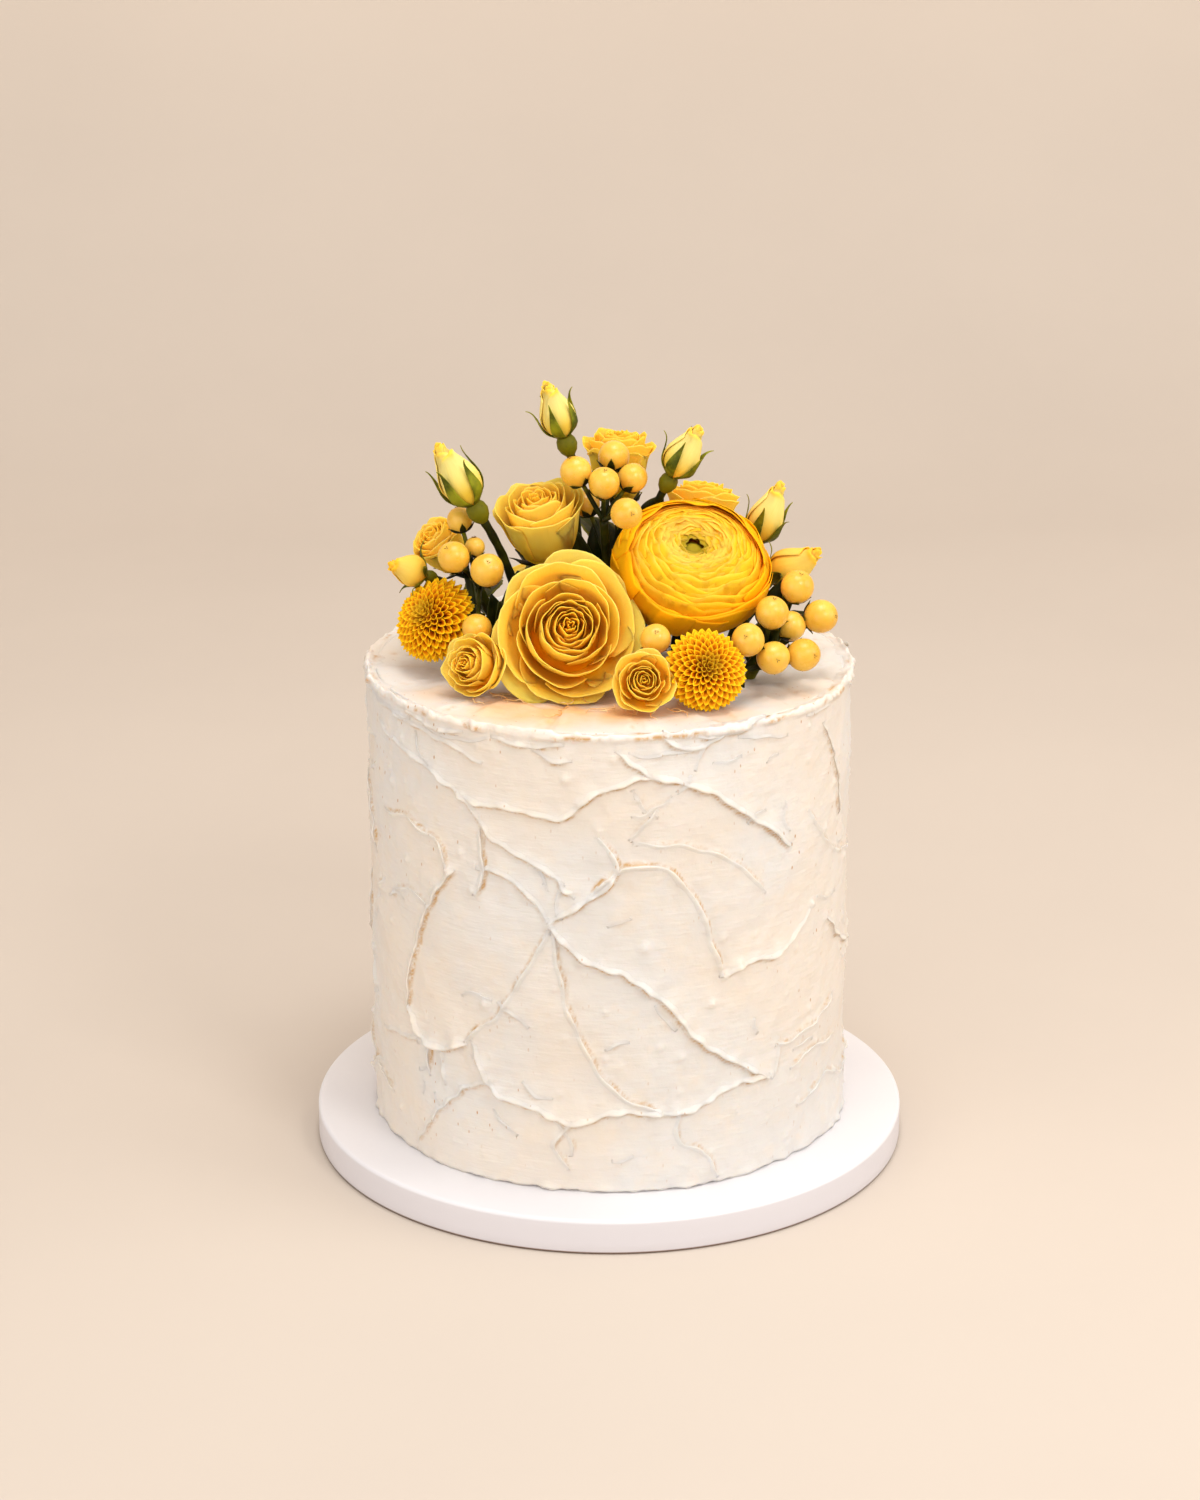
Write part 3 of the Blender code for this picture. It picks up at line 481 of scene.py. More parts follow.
def icingShader():
    material, tree, shader = newMaterial("buttercream", Roughness=0.5, Subsurface_Weight=0.18,
                                         Subsurface_Scale=0.004, Specular_IOR_Level=0.4)
    shader.inputs["Subsurface Radius"].default_value = (1.0, 0.62, 0.35)
    place = objectPlace(tree)
    cream = blendColour(tree, spread(tree, noiseOf(tree, place, 18.0, 3.0), 0.38, 0.62),
                        rgb(225, 215, 203), rgb(219, 215, 210))
    fine = noiseOf(tree, place, 95.0, 4.0, 0.6)
    cream = blendColour(tree, spread(tree, fine, 0.45, 0.75, 0.0, 0.45), cream, rgb(228, 213, 194))
    crumbly = noiseOf(tree, place, 420.0, 3.0, 0.65)
    # painted shade: tan along the foot of the lips, broken up by noise
    tint = sums(tree, "MULTIPLY", valueOf(tree, "creaseShade"), spread(tree, crumbly, 0.24, 0.60), clamp=True)
    cream = blendColour(tree, sums(tree, "MULTIPLY", sums(tree, "POWER", tint, 1.5), 0.95, clamp=True),
                        cream, rgb(194, 152, 98))
    # painted shade and orange reflected light on the icing under the flowers
    flowerShadeAndBounce = sums(tree, "MULTIPLY", valueOf(tree, "flowerShadeAndBounce"), spread(tree, noiseOf(tree, place, 60.0, 3.0), 0.1,
            0.6), clamp=True)
    cream = blendColour(tree, sums(tree, "MULTIPLY", flowerShadeAndBounce, 0.85), cream, rgb(230, 178, 114))
    shaken = objectPlace(tree, (1.0, 1.0, 0.45), (0.5, 0.6, 0))
    cells = addNode(tree, "ShaderNodeTexVoronoi", {"Vector": shaken, "Scale": 520.0, "Randomness": 1.0})
    chance = addNode(tree, "ShaderNodeSeparateColor", {"Color": cells.outputs["Color"]})
    dot = spread(tree, cells.outputs["Distance"], 0.20, 0.10)
    picked = sums(tree, "GREATER_THAN", chance.outputs["Red"], 0.60)
    zone = sums(tree, "MULTIPLY", valueOf(tree, "specks"), spread(tree, noiseOf(tree, place, 75.0, 2.0),
            0.46, 0.60))
    speck = sums(tree, "MULTIPLY", sums(tree, "MULTIPLY", dot, picked), zone, clamp=True)
    cream = blendColour(tree, sums(tree, "MULTIPLY", speck, 0.85), cream, rgb(184, 132, 74))
    tree.links.new(cream, shader.inputs["Base Color"])
    tree.links.new(spread(tree, fine, 0.2, 0.8, 0.34, 0.54), shader.inputs["Roughness"])
    # fine drag lines of the knife, which run two ways in patches
    first = noiseOf(tree, objectPlace(tree, (1.0, 1.0, 6.0), (0.35, 0.25, 0)), 130.0, 3.0, 0.55)
    second = noiseOf(tree, objectPlace(tree, (1.0, 1.0, 6.0), (-0.55, -0.4, 0)), 150.0, 3.0, 0.55)
    patch = spread(tree, noiseOf(tree, place, 30.0, 1.0), 0.45, 0.55)
    lines = sums(tree, "ADD", sums(tree, "MULTIPLY", first, patch), sums(tree, "MULTIPLY", second,
            sums(tree, "SUBTRACT", 1.0, patch)))
    drag = bumpOf(tree, lines, 0.35, 0.0006)
    pores = bumpOf(tree, noiseOf(tree, place, 900.0, 3.0, 0.6), 0.22, 0.00035, drag)
    tree.links.new(pores, shader.inputs["Normal"])
    return material


def waveOf(draw, points, size, count=24):  # slow random unevenness from summed waves
    total = np.zeros(len(points))
    for _ in range(count):
        heading = draw.normal(size=3)
        heading *= tau / size / np.linalg.norm(heading) * draw.uniform(0.5, 1.4)
        total += np.sin(points @ heading + draw.uniform(0, tau))
    return total / math.sqrt(count / 2)


def bumps(places, centres, radius, height, wrap):  # small peaks where the knife lifted off
    total = np.zeros(len(places))
    for (x, y), r, h in zip(centres, radius, height):
        dx = (places[:, 0] - x + wrap / 2) % wrap - wrap / 2
        near = np.nonzero((np.abs(dx) < 3 * r) & (np.abs(places[:, 1] - y) < 3 * r))[0]
        gap = (dx[near] ** 2 + (places[near, 1] - y) ** 2) / r**2
        total[near] = np.maximum(total[near], h * np.exp(-gap))
    return total


def makeIcingSide(material):
    draw = np.random.default_rng(icing["seed"] + 1)
    reach = icing["frontReach"]
    front = np.linspace(-reach, reach, icing["frontColumns"] + 1)
    back = np.linspace(reach, 360 - reach, icing["backColumns"] + 1)[1:-1]
    degrees = np.concatenate([front, back])
    angles = np.radians(degrees)
    columns, rows, radius = len(degrees), icing["rows"], icing["radius"]
    height = cakeTop - icing["bottom"]
    arc = math.radians(1) * radius
    heights = np.linspace(0, height - 2.2, rows)
    flat = np.stack(np.meshgrid(degrees * arc, heights), 2).reshape(-1, 2)
    strokes = [{**s, "run": [(a * arc, z) for a, z in s["run"]]} for s in allStrokes()]
    relief, creaseShade, laid = layStrokes(flat, strokes, tau * radius, draw)
    peaks = [(draw.uniform(-180, 180) * arc, draw.uniform(2, height - 2)) for _ in range(icing["peaks"])]
    peaks += [(draw.choice((-1, 1)) * draw.uniform(70, 108) * arc, draw.uniform(6, height - 2))
              for _ in range(icing["sidePeaks"])]
    peaks += [(s["run"][k][0] + draw.uniform(-1, 1), s["run"][k][1] + draw.uniform(-1, 1))
              for s in strokes[:icing["peakedStrokes"]] for k in (0, -1)]
    relief += bumps(flat, peaks, draw.uniform(0.5, 1.2, len(peaks)), draw.uniform(0.25, 1.0, len(peaks)),
                    tau * radius)
    relief += bumps(flat, [(a * arc, z) for a, z in knobs], draw.uniform(1.1, 1.7, len(knobs)),
                    draw.uniform(0.9, 1.6, len(knobs)), tau * radius)
    spots = np.stack([radius * np.sin(flat[:, 0] / radius), -radius * np.cos(flat[:, 0] / radius),
                      flat[:, 1]], 1)
    relief += (icing["wave"] * waveOf(draw, spots, 42.0) * 0.6 + 0.10 * waveOf(draw, spots, 9.0)
               + 0.045 * waveOf(draw, spots, 3.2))
    foot = np.clip(flat[:, 1] / 3.0, 0, 1)
    relief += (1 - foot) * (0.35 * waveOf(draw, spots * (1, 1, 0), 7.0) + 0.25)
    reachOut = (radius + relief).reshape(rows, columns)
    lift = 0.35 * np.clip(waveOf(draw, spots[:columns], 6.0), -1, 1)
    z = np.tile((heights + icing["bottom"])[:, None], (1, columns))
    z[0] += lift + 0.3
    z[1] += lift * 0.4 + 0.1
    # over the rim: the lip's crest, then its inner slope down under the top's own sheet
    rim = np.stack([radius * np.sin(angles), -radius * np.cos(angles), np.zeros(columns)], 1)
    crest = 0.9 + 0.55 * waveOf(draw, rim, 26.0) + 0.40 * waveOf(draw, rim, 7.0) + 0.30 * waveOf(draw, rim,
            3.0)
    crest = icing["lipRise"] * np.clip(crest, 0.05, 2.2)
    width = np.clip(0.86 + 0.24 * waveOf(draw, rim, 18.0) + 0.12 * waveOf(draw, rim, 5.0), 0.66, 1.4)
    push = 0.6 * np.clip(waveOf(draw, rim, 9.0), 0, 2) + 0.4 * np.clip(waveOf(draw, rim, 2.6), 0, 2)
    # lip rings: inset, height, push outward, and how much painted shade lies there, at the lip's foot on
    # both sides of its crest
    lip = [(-0.25, -1.5, 1.0, 0.5), (-0.20, -0.6, 1.0, 0.9), (0.05, 0.40, 0.8, 0.2), (0.30, 0.88, 0.5, 0),
           (0.62, 1.0, 0.2, 0),
           (1.0, 0.76, 0, 0), (1.5, 0.36, 0, 0.4), (2.1, 0.12, 0, 0.9), (3.4, 0.04, 0, 0.3),
           (5.2, -0.7, 0, 0),
           (7.4, -1.8, 0, 0), (9.0, -3.0, 0, 0)]
    last = reachOut[-1]
    ringsR, ringsZ = list(reachOut), list(z)
    # painted shade along the rim, stronger in some stretches than others
    rimShadeAlong = np.clip(waveOf(draw, rim, 20.0) + 0.4 * waveOf(draw, rim, 4.0) + 0.4, 0, 1.2)
    lipShade = np.concatenate([rimShade * rimShadeAlong for *_, rimShade in lip])
    for inset, level, pushed, _ in lip:
        ringsR.append(last - inset * width + push * pushed)
        ringsZ.append(cakeTop + np.where(level > 0, level * crest, level) + 0.06 * waveOf(draw,
                rim + inset * 3, 4.0))
    rings = [np.stack([r * np.sin(angles), -r * np.cos(angles), h], 1) for r, h in zip(ringsR, ringsZ)]
    points, loops, _ = closedRings(rings, (0, 0, icing["bottom"] + 0.4), (0, 0, cakeTop - 3.0))
    flowerShadeAndBounce = np.zeros(len(points))
    creaseShade = np.concatenate([[0], creaseShade, lipShade, [0]])
    turn = np.degrees(np.arctan2(points[:, 0], -points[:, 1]))
    high = points[:, 2] - icing["bottom"]
    zones = ((-52, 150, 30, 14), (-60, 120, 25, 22), (62, 120, 26, 34), (50, 150, 25, 12),
             (70, 70, 22, 40), (-40, 30, 25, 16), (150, 110, 60, 40))
    specks = sum(np.exp(-((turn - a) / w) ** 2 - ((high - h) / t) ** 2) for a, h, w, t in zones)
    specks = np.clip(0.25 + specks, 0, 1.2)
    side = makePiece("icing_side", points, loops, material, {"creaseShade": creaseShade, "flowerShadeAndBounce": flowerShadeAndBounce,
            "specks": specks})
    return side, makeLips(material, laid, degrees * arc, heights + icing["bottom"], reachOut, draw)


# The cut through a lip of icing: across, towards the steep side, and out, in shares of its rise
lipCut = [(-2.3, -0.40), (-1.5, -0.02), (-0.95, 0.12), (-0.5, 0.32), (-0.1, 0.50), (0.25, 0.50),
          (0.50, 0.28), (0.46, -0.02),
          (0.20, -0.40), (-0.5, -1.1)]


def makeLips(material, laid, across, heights, reachOut,
             draw):  # the thin lips that stand along the strokes' edges
    order = np.argsort(across)
    across, reachOut = across[order], reachOut[:, order]
    wholeWay = tau * icing["radius"]
    shells = []

    def surface(place):
        s = (place[:, 0] - across[0]) % wholeWay + across[0]
        j = np.clip(np.searchsorted(across, s) - 1, 0, len(across) - 2)
        i = np.clip(np.searchsorted(heights, place[:, 1] + icing["bottom"]) - 1, 0, len(heights) - 2)
        a = np.clip((s - across[j]) / (across[j + 1] - across[j]), 0, 1)
        b = np.clip((place[:, 1] + icing["bottom"] - heights[i]) / (heights[i + 1] - heights[i]), 0, 1)
        return ((reachOut[i, j] * (1 - a) + reachOut[i, j + 1] * a) * (1 - b)
                + (reachOut[i + 1, j] * (1 - a) + reachOut[i + 1, j + 1] * a) * b)

    for stroke in laid:
        path, left, rise, drop = stroke["path"], stroke["left"], stroke["rise"], stroke["drop"]
        if len(path) < 6:
            continue
        t = np.arange(len(path))
        size = np.clip(rise, 0.06, 1.6) * (0.80 + 0.25 * np.sin(t * 0.37 + draw.uniform(0, tau))
                                           + 0.12 * np.sin(t * 0.9 + draw.uniform(0, tau)))
        size = np.clip(size, 0.05, None)
        wide = 0.55 + 0.40 * size
        cut = lipCut if drop < 0 else lipCut[::-1]
        columns = []
        for shift, out in cut:
            place = path + left * (drop * shift * wide)[:, None]
            base = path + left * (drop * min(shift, -0.3) * wide)[:, None]
            z = np.clip(place[:, 1], 0.3, None) + icing["bottom"]
            angle, reach = place[:, 0] / icing["radius"], surface(base) + out * size
            columns.append(np.stack([reach * np.sin(angle), -reach * np.cos(angle), z], 1))
        rings = list(np.stack(columns, 1))
        shells.append(closedRings(rings, rings[0].mean(0), rings[-1].mean(0)))
    points, loops, _ = joined(shells)
    zeros = np.zeros(len(points))
    return makePiece("icing_lips", points, loops, material, {"creaseShade": zeros, "flowerShadeAndBounce": zeros,
            "specks": zeros + 0.6})


def makeIcingTop(material):
    draw = np.random.default_rng(icing["seed"] + 2)
    rings, sides, radius = icing["topRings"], icing["topSides"], icing["radius"] - 2.9
    share = np.linspace(0, 1, rings + 1)[1:]
    angles = np.arange(sides) * tau / sides
    flat = np.stack([(share[:, None] * radius * np.sin(angles)).ravel(),
                     (-share[:, None] * radius * np.cos(angles)).ravel()], 1)
    strokes = []
    for k in range(icing["rimStrokes"]):  # strokes drawn in from the rim
        a = tau * k / icing["rimStrokes"] + draw.uniform(-0.08, 0.08)
        inner, bend = draw.uniform(42, 64), draw.uniform(-0.5, 0.5)
        run = [(r * math.sin(a + bend * (1 - r / radius)), -r * math.cos(a + bend * (1 - r / radius)))
               for r in (radius, (radius + inner) / 2, inner)]
        strokes.append({"run": run, "rise": draw.uniform(0.35, 0.9), "drop": 1 if k % 2 else -1})
    for _ in range(icing["sweeps"]):  # sweeps across
        a, r = draw.uniform(0, tau), draw.uniform(15, 60)
        c = np.array([r * math.sin(a), -r * math.cos(a)])
        d = np.array([math.cos(a), math.sin(a)]) * draw.uniform(12, 24)
        strokes.append({"run": [tuple(c - d), tuple(c + draw.uniform(-4, 4, 2)), tuple(c + d)],
                        "rise": draw.uniform(0.3, 0.6), "drop": 1})
    relief, creaseShade, _ = layStrokes(flat, strokes, None, draw)
    spots = np.concatenate([flat, np.zeros((len(flat), 1))], 1)
    outward = np.hypot(*flat.T) / radius
    relief = (relief * np.clip(outward * 2, 0.3, 1) + 0.25 * waveOf(draw, spots, 24.0)
              + 0.05 * waveOf(draw, spots, 5.0))
    relief *= np.clip((1.02 - outward) * 14, 0.15, 1)
    z = (cakeTop - 0.15 + relief).reshape(rings, sides)
    top = [np.stack([flat[k * sides:(k + 1) * sides, 0], flat[k * sides:(k + 1) * sides, 1], z[k]], 1)
           for k in range(rings)]
    under = top[-1] * (0.995, 0.995, 1) - (0, 0, 2.4)
    stack = [under] + top[::-1]
    points, loops, _ = closedRings(stack, (0, 0, cakeTop - 2.6), (0, 0, cakeTop))
    creaseShade = np.concatenate([[0], np.zeros(sides), creaseShade.reshape(rings, sides)[::-1].ravel(), [0]])
    flowerShadeAndBounce = np.zeros(len(points))
    # painted shade and reflected light: tan-orange patches on the top under the front flowers
    for x, y, r, power in ((-30, -53, 14, 1.0), (-14, -57, 13, 1.3), (3, -57, 13, 1.1), (20, -58, 10, 0.6),
                           (36, -57, 10, 0.5), (56, -40, 11, 0.4), (-55, -34, 11, 0.4)):
        flowerShadeAndBounce = np.maximum(flowerShadeAndBounce, power * np.exp(-(((points[:, 0] - x) ** 2 + (points[:, 1] - y) ** 2)
                                                 / r**2) ** 1.4))
    specks = 0.35 + 0.9 * np.clip(np.hypot(points[:, 0], points[:, 1]) / radius - 0.75, 0, 0.25) * 4
    return makePiece("icing_top", points, loops, material, {"creaseShade": creaseShade, "flowerShadeAndBounce": flowerShadeAndBounce,
                                                            "specks": specks})


buttercream = icingShader()
for part in makeIcingSide(buttercream):
    standsFor(part, "icing", "cake")
standsFor(makeIcingTop(buttercream), "icing", "cake")


print("board")
board = {"radius": 101.55, "height": 12.0, "round": 1.3, "sides": 256, "paper": (218, 216, 220)}


def makeBoard():
    material, tree, shader = newMaterial("board_paper", Roughness=0.38, Specular_IOR_Level=0.45,
                                         Coat_Weight=0.12, Coat_Roughness=0.3)
    place = objectPlace(tree)
    paper = blendColour(tree, spread(tree, noiseOf(tree, place, 12.0, 2.0), 0.35, 0.65),
                        rgb(*board["paper"]), rgb(224, 222, 225))
    height = addNode(tree, "ShaderNodeSeparateXYZ", {"Vector": place}).outputs["Z"]
    side = spread(tree, height, 0.0112, 0.0104)
    paper = blendColour(tree, side, paper, rgb(216, 212, 216))
    # painted contact shadow: a dark brown band along the board's bottom edge
    foot = spread(tree, height, 0.0012, 0.0005)
    paper = blendColour(tree, foot, paper, rgb(120, 92, 74))
    tree.links.new(paper, shader.inputs["Base Color"])
    grain = noiseOf(tree, place, 700.0, 3.0, 0.6)
    tree.links.new(spread(tree, grain, 0.3, 0.7, 0.34, 0.46), shader.inputs["Roughness"])
    tree.links.new(bumpOf(tree, grain, 0.08, 0.0002), shader.inputs["Normal"])
    r, h, b = board["radius"], board["height"], board["round"]
    corner = [(r - b + b * math.cos(a), h - b + b * math.sin(a)) for a in np.linspace(0, math.pi / 2, 7)]
    profile = [(0, 0), (r - 0.6, 0), (r - 0.15, 0.5), (r, 1.0), (r, 4.0), (r, 8.0)] + corner
    profile += [(r * k, h) for k in (0.96, 0.9, 0.82, 0.6, 0.3)] + [(0, h)]
    points, loops, _ = turned(profile, board["sides"])
    standsFor(makePiece("cake_board", points, loops, material), "board_card", "board")


makeBoard()


print("petals")


def petalShader(name, deep, body, rim, veins=0.10, rough=0.55, soft=0.3, rimFrom=0.90,
                bodyFrom=(0.25, 0.80), inside=0.0):
    material, tree, shader = newMaterial(name, Roughness=rough, Subsurface_Weight=soft,
                                         Subsurface_Scale=0.002, Specular_IOR_Level=0.05)
    shader.inputs["Subsurface Radius"].default_value = (1.0, 0.86, 0.6)
    place = objectPlace(tree)
    tip, across, row, kind = (valueOf(tree, key) for key in ("tip", "across", "row", "kind"))
    rise = sums(tree, "ADD", tip, sums(tree, "MULTIPLY", noiseOf(tree, place, 260.0, 2.0), 0.12))
    # painted shade: each petal goes deep orange towards its foot, down in the folds between petals
    colour = blendColour(tree, spread(tree, rise, *bodyFrom), deep, body)
    colour = blendColour(tree, spread(tree, rise, rimFrom + 0.04, rimFrom + 0.14), colour, rim)
    # veins run up the petal: a fine noise of its width, stretched along its length
    lines = addNode(tree, "ShaderNodeCombineXYZ", {"X": sums(tree, "MULTIPLY", across, 17.0),
                                                   "Y": sums(tree, "MULTIPLY", tip, 1.6),
                                                   "Z": sums(tree, "MULTIPLY", kind, 9.0)}).outputs[0]
    vein = noiseOf(tree, lines, 1.0, 3.0, 0.6)
    colour = blendColour(tree, spread(tree, vein, 0.45, 0.8, 0.0, veins), colour, deep)
    tone = sums(tree, "MULTIPLY", spread(tree, noiseOf(tree, place, 90.0, 2.0), 0.35, 0.7), 0.22)
    colour = blendColour(tree, tone, colour, body)
    # row: a bloom's own gold, and painted shade deepening the inner rose petals
    colour = blendColour(tree, sums(tree, "MULTIPLY", row, 0.85), colour, deep)
    # painted shade: the inner faces of the petals turn deeper
    colour = blendColour(tree, sums(tree, "MULTIPLY", valueOf(tree, "inside"), inside), colour, deep)
    colour = blendColour(tree, valueOf(tree, "young"), colour, rgb(140, 126, 22))
    tree.links.new(colour, shader.inputs["Base Color"])
    tree.links.new(bumpOf(tree, vein, 0.25, 0.0004), shader.inputs["Normal"])
    return material


rosePaint = petalShader("rose_petal", rgb(255, 172, 4), rgb(255, 216, 88), rgb(255, 216, 92), rough=0.65,
                        soft=0.7,
                         bodyFrom=(0.34, 0.92))
ranunculusPaint = petalShader("ranunculus_petal", rgb(255, 166, 4), rgb(254, 188, 30), rgb(254, 198, 70),
                              rough=0.55,
                              rimFrom=0.95, soft=0.45, bodyFrom=(0.66, 1.0), inside=0.6)
budPaint = petalShader("bud_petal", rgb(236, 192, 58), rgb(246, 222, 126), rgb(252, 204, 66), veins=0.20,
                       rimFrom=0.90)
goldPaint = petalShader("gold_bud_petal", rgb(244, 180, 48), rgb(250, 204, 90), rgb(255, 190, 46),
                        veins=0.20, rimFrom=0.88)

roseForms = {
    "open": {
        "petals": 36, "grid": (17, 19), "span": (54, 84),
        "rims": [(0, 0.91, 0.52), (0.13, 0.86, 0.62), (0.24, 0.79, 0.71), (0.27, 0.66, 0.79),
                 (0.40, 0.55, 0.84), (0.45, 0.44, 0.88),
                 (1, 0.03, 0.93)],
        "drop": (0.20, 0.10), "curl": 0.22, "curlUntil": 0.45, "belly": (1.0, 1.30), "ruffle": 0.028,
        "tuck": 0.07, "thick": 0.38,
        "taller": 0.10, "pinch": 0.13, "uneven": 0.05,
    },
    "cup": {
        "petals": 25, "grid": (17, 17), "span": (60, 84),
        "rims": [(0, 0.88, 0.90), (0.17, 0.82, 0.94), (0.26, 0.68, 0.96), (1, 0.05, 0.97)],
        "drop": (0.14, 0.08), "curl": 0.24, "curlUntil": 0.4, "belly": (0.98, 1.2), "ruffle": 0.032,
        "tuck": 0.05, "thick": 0.38,
        "pinch": 0.05, "uneven": 0.04,
    },
    "small": {
        "petals": 22, "grid": (13, 15), "span": (54, 84),
        "rims": [(0, 0.95, 0.60), (0.24, 0.84, 0.74), (0.31, 0.64, 0.84), (1, 0.05, 0.95)],
        "drop": (0.20, 0.10), "curl": 0.18, "curlUntil": 0.45, "belly": (1.0, 1.3), "ruffle": 0.04,
        "tuck": 0.07, "thick": 0.34,
        "pinch": 0.12, "uneven": 0.05,
    },
}
# Each bloom: its form, radius, depth, base and facing as in the frame, then its roll, its own seed and
# how gold it is
roses = {
    "rose_front": ("open", 24.0, 27.0, (-15.2, -25.0, 14.2), (0.10, -0.87, 0.48), 66, 3, 0.0),
    "rose_back_left": ("cup", 15.4, 27.0, (-19.9, 8.0, 32.4), (-0.18, -0.31, 0.93), 20, 5, 0.1),
    "rose_top": ("cup", 12.2, 25.0, (3.3, 31.0, 46.0), (0.0, 0.08, 1.0), 75, 8, 0.6),
    "rose_back_right": ("cup", 13.6, 22.0, (30.7, 30.0, 31.0), (0.05, 0.20, 0.98), 110, 9, 0.7),
    "rose_far_left": ("cup", 9.6, 18.0, (-50.5, 15.0, 27.8), (-0.55, -0.28, 0.76), 10, 12, 0.5),
    "spray_rose_left": ("small", 11.0, 17.0, (-39.6, -34.6, 7.4), (-0.50, -0.80, 0.40), 0, 14, 0.15),
    "spray_rose_right": ("small", 10.2, 13.6, (10.6, -51.4, 7.4), (0.02, -0.90, 0.43), 60, 17, 0.2),
    "spray_rose_back_left": ("small", 12.5, 17.0, (-20.0, 38.0, 10.0), (-0.30, 0.80, 0.52), 30, 19, 0.3),
    "spray_rose_back_right": ("small", 11.5, 16.0, (15.0, 45.0, 9.0), (0.25, 0.82, 0.50), 80, 21, 0.3),
}


def bezier(a, b, c, d, t):
    return a * (1 - t) ** 3 + 3 * b * t * (1 - t) ** 2 + 3 * c * t**2 * (1 - t) + d * t**3


def rosePetal(form, radius, depth, share, turn, gold, draw):
    rows, columns = form["grid"]
    v = 1 - (1 - np.linspace(0, 1, rows)[:, None]) ** 1.25
    u = np.linspace(-1, 1, columns)[None, :]
    reach = v * (1 - mixOf(form["drop"], share) * np.abs(u) ** 2.5) * draw.uniform(0.97, 1.03)
    shares, rimRs, rimZs = np.array(form["rims"]).T
    uneven = form["uneven"] * max(0.3, 1 - 2 * share)
    rimR = np.interp(share, shares, rimRs) * draw.uniform(1 - uneven, 1 + uneven)
    rimZ = np.interp(share, shares, rimZs) * draw.uniform(1 - uneven, 1 + uneven)
    foot = 0.16 * (1 - share) + 0.03
    belly = mixOf(form["belly"], share)
    r = bezier(foot, rimR * (0.70 + 0.5 * share), rimR * belly, rimR, reach)
    z = bezier(0.02 + 0.28 * share, 0.03 + 0.30 * share, rimZ * (0.52 + 0.22 * share), rimZ, reach)
    curl = form["curl"] * max(0.0, 1 - share / form["curlUntil"]) * draw.uniform(0.7, 1.3)
    roll = np.clip((reach - 0.70) / 0.30, 0, None) ** 2
    r = r + curl * roll * (0.65 + 0.6 * np.abs(u) ** 1.5)
    z = z - 0.55 * curl * roll * (0.8 + 0.5 * np.abs(u) ** 1.5)
    r = r * (1 + form["tuck"] * u * (1 - 0.5 * share)) * (1 - form["pinch"] * (1 - share) * v * u**2)
    bend = ripple(draw, 2.2 * u, 2.0 * v)
    fringe = np.sin(draw.uniform(4, 7) * u + draw.uniform(0, tau)) + 0.6 * np.sin(draw.uniform(9, 14) * u
            + draw.uniform(0, tau))
    r = r + form["ruffle"] * (bend * v + 0.55 * fringe * v**5) * (1.1 - 0.6 * share)
    z = z + form["ruffle"] * (ripple(draw, 2.5 * u, 2.0 * v) * v + 0.5 * fringe * v**5) * (1.1
            - 0.6 * share)
    point = np.exp(-(u / 0.16) ** 2) * np.clip((v - 0.8) / 0.2, 0, 1) ** 2
    r = r + 0.02 * point * (1 - share)
    width = 0.62 + 0.38 * np.sin(math.pi / 2 * np.clip(v / 0.65, 0, 1))  # a petal is narrow at its foot
    angle = turn + math.radians(mixOf(form["span"], share)) * u * width
    taller = 1 + form.get("taller", 0) * r**2  # the outer petals hang longer up and down
    front = np.stack([radius * r * np.cos(angle), radius * r * taller * np.sin(angle),
                      depth * z + 0 * angle], 2)
    thick = form["thick"] * (1.15 - 0.65 * v) + 0 * u
    tip = reach / max(0.001, float(reach.max())) * (1 - 0.10 * np.abs(u) ** 2)
    # row: the bloom's own gold, and painted shade that deepens the petals towards the heart
    return thinSheet(front, thick, tip=np.maximum(tip, v - 0.12), across=u + 0 * v,
                     row=gold + (1 - gold) * share**0.9, kind=draw.random())


def makeRose(name, kind, radius, depth, base, facing, roll, seed, gold):
    form = roseForms[kind]
    roll = math.radians(roll)
    draw = np.random.default_rng(seed)
    shells = []
    for k in range(form["petals"]):
        share = k / (form["petals"] - 1)
        turn = roll + k * goldenTurn + draw.uniform(-0.12, 0.12)
        shells.append(rosePetal(form, radius, depth, share, turn, gold, draw))
    heart = [(0, 0.03), (0.42, 0.05), (0.60, 0.16), (0.56, 0.34), (0.26, 0.56), (0, 0.60)]
    points, loops, _ = turned([(r * radius * 0.92, z * depth) for r, z in heart], 24)
    zeros = np.zeros(len(points))
    shells.append((points, loops, {"tip": zeros, "across": zeros, "row": zeros, "kind": zeros}))
    head = standing(joined(shells), onTop(*base), facing)
    standsFor(makePiece(name + "_petals", *head[:2], rosePaint, head[2]), "rose_petal", name)


for name, rose in roses.items():
    makeRose(name, *rose)


ranunculus = {
    "radius": 25.4, "depth": 34.0, "base": (24.8, -2.5, 20.3), "facing": (0.10, -0.50, 0.86),
    "petals": 126, "grid": (10, 17),
    "rim": (70, 6), "length": (84, 34), "span": (50, 76), "seed": 31, "thick": 0.26, "roll": 25,
    "collar": 15, "collarFront": 76,
    "collarBack": 36,  # the wide outer petals, and how near to the middle they reach
}


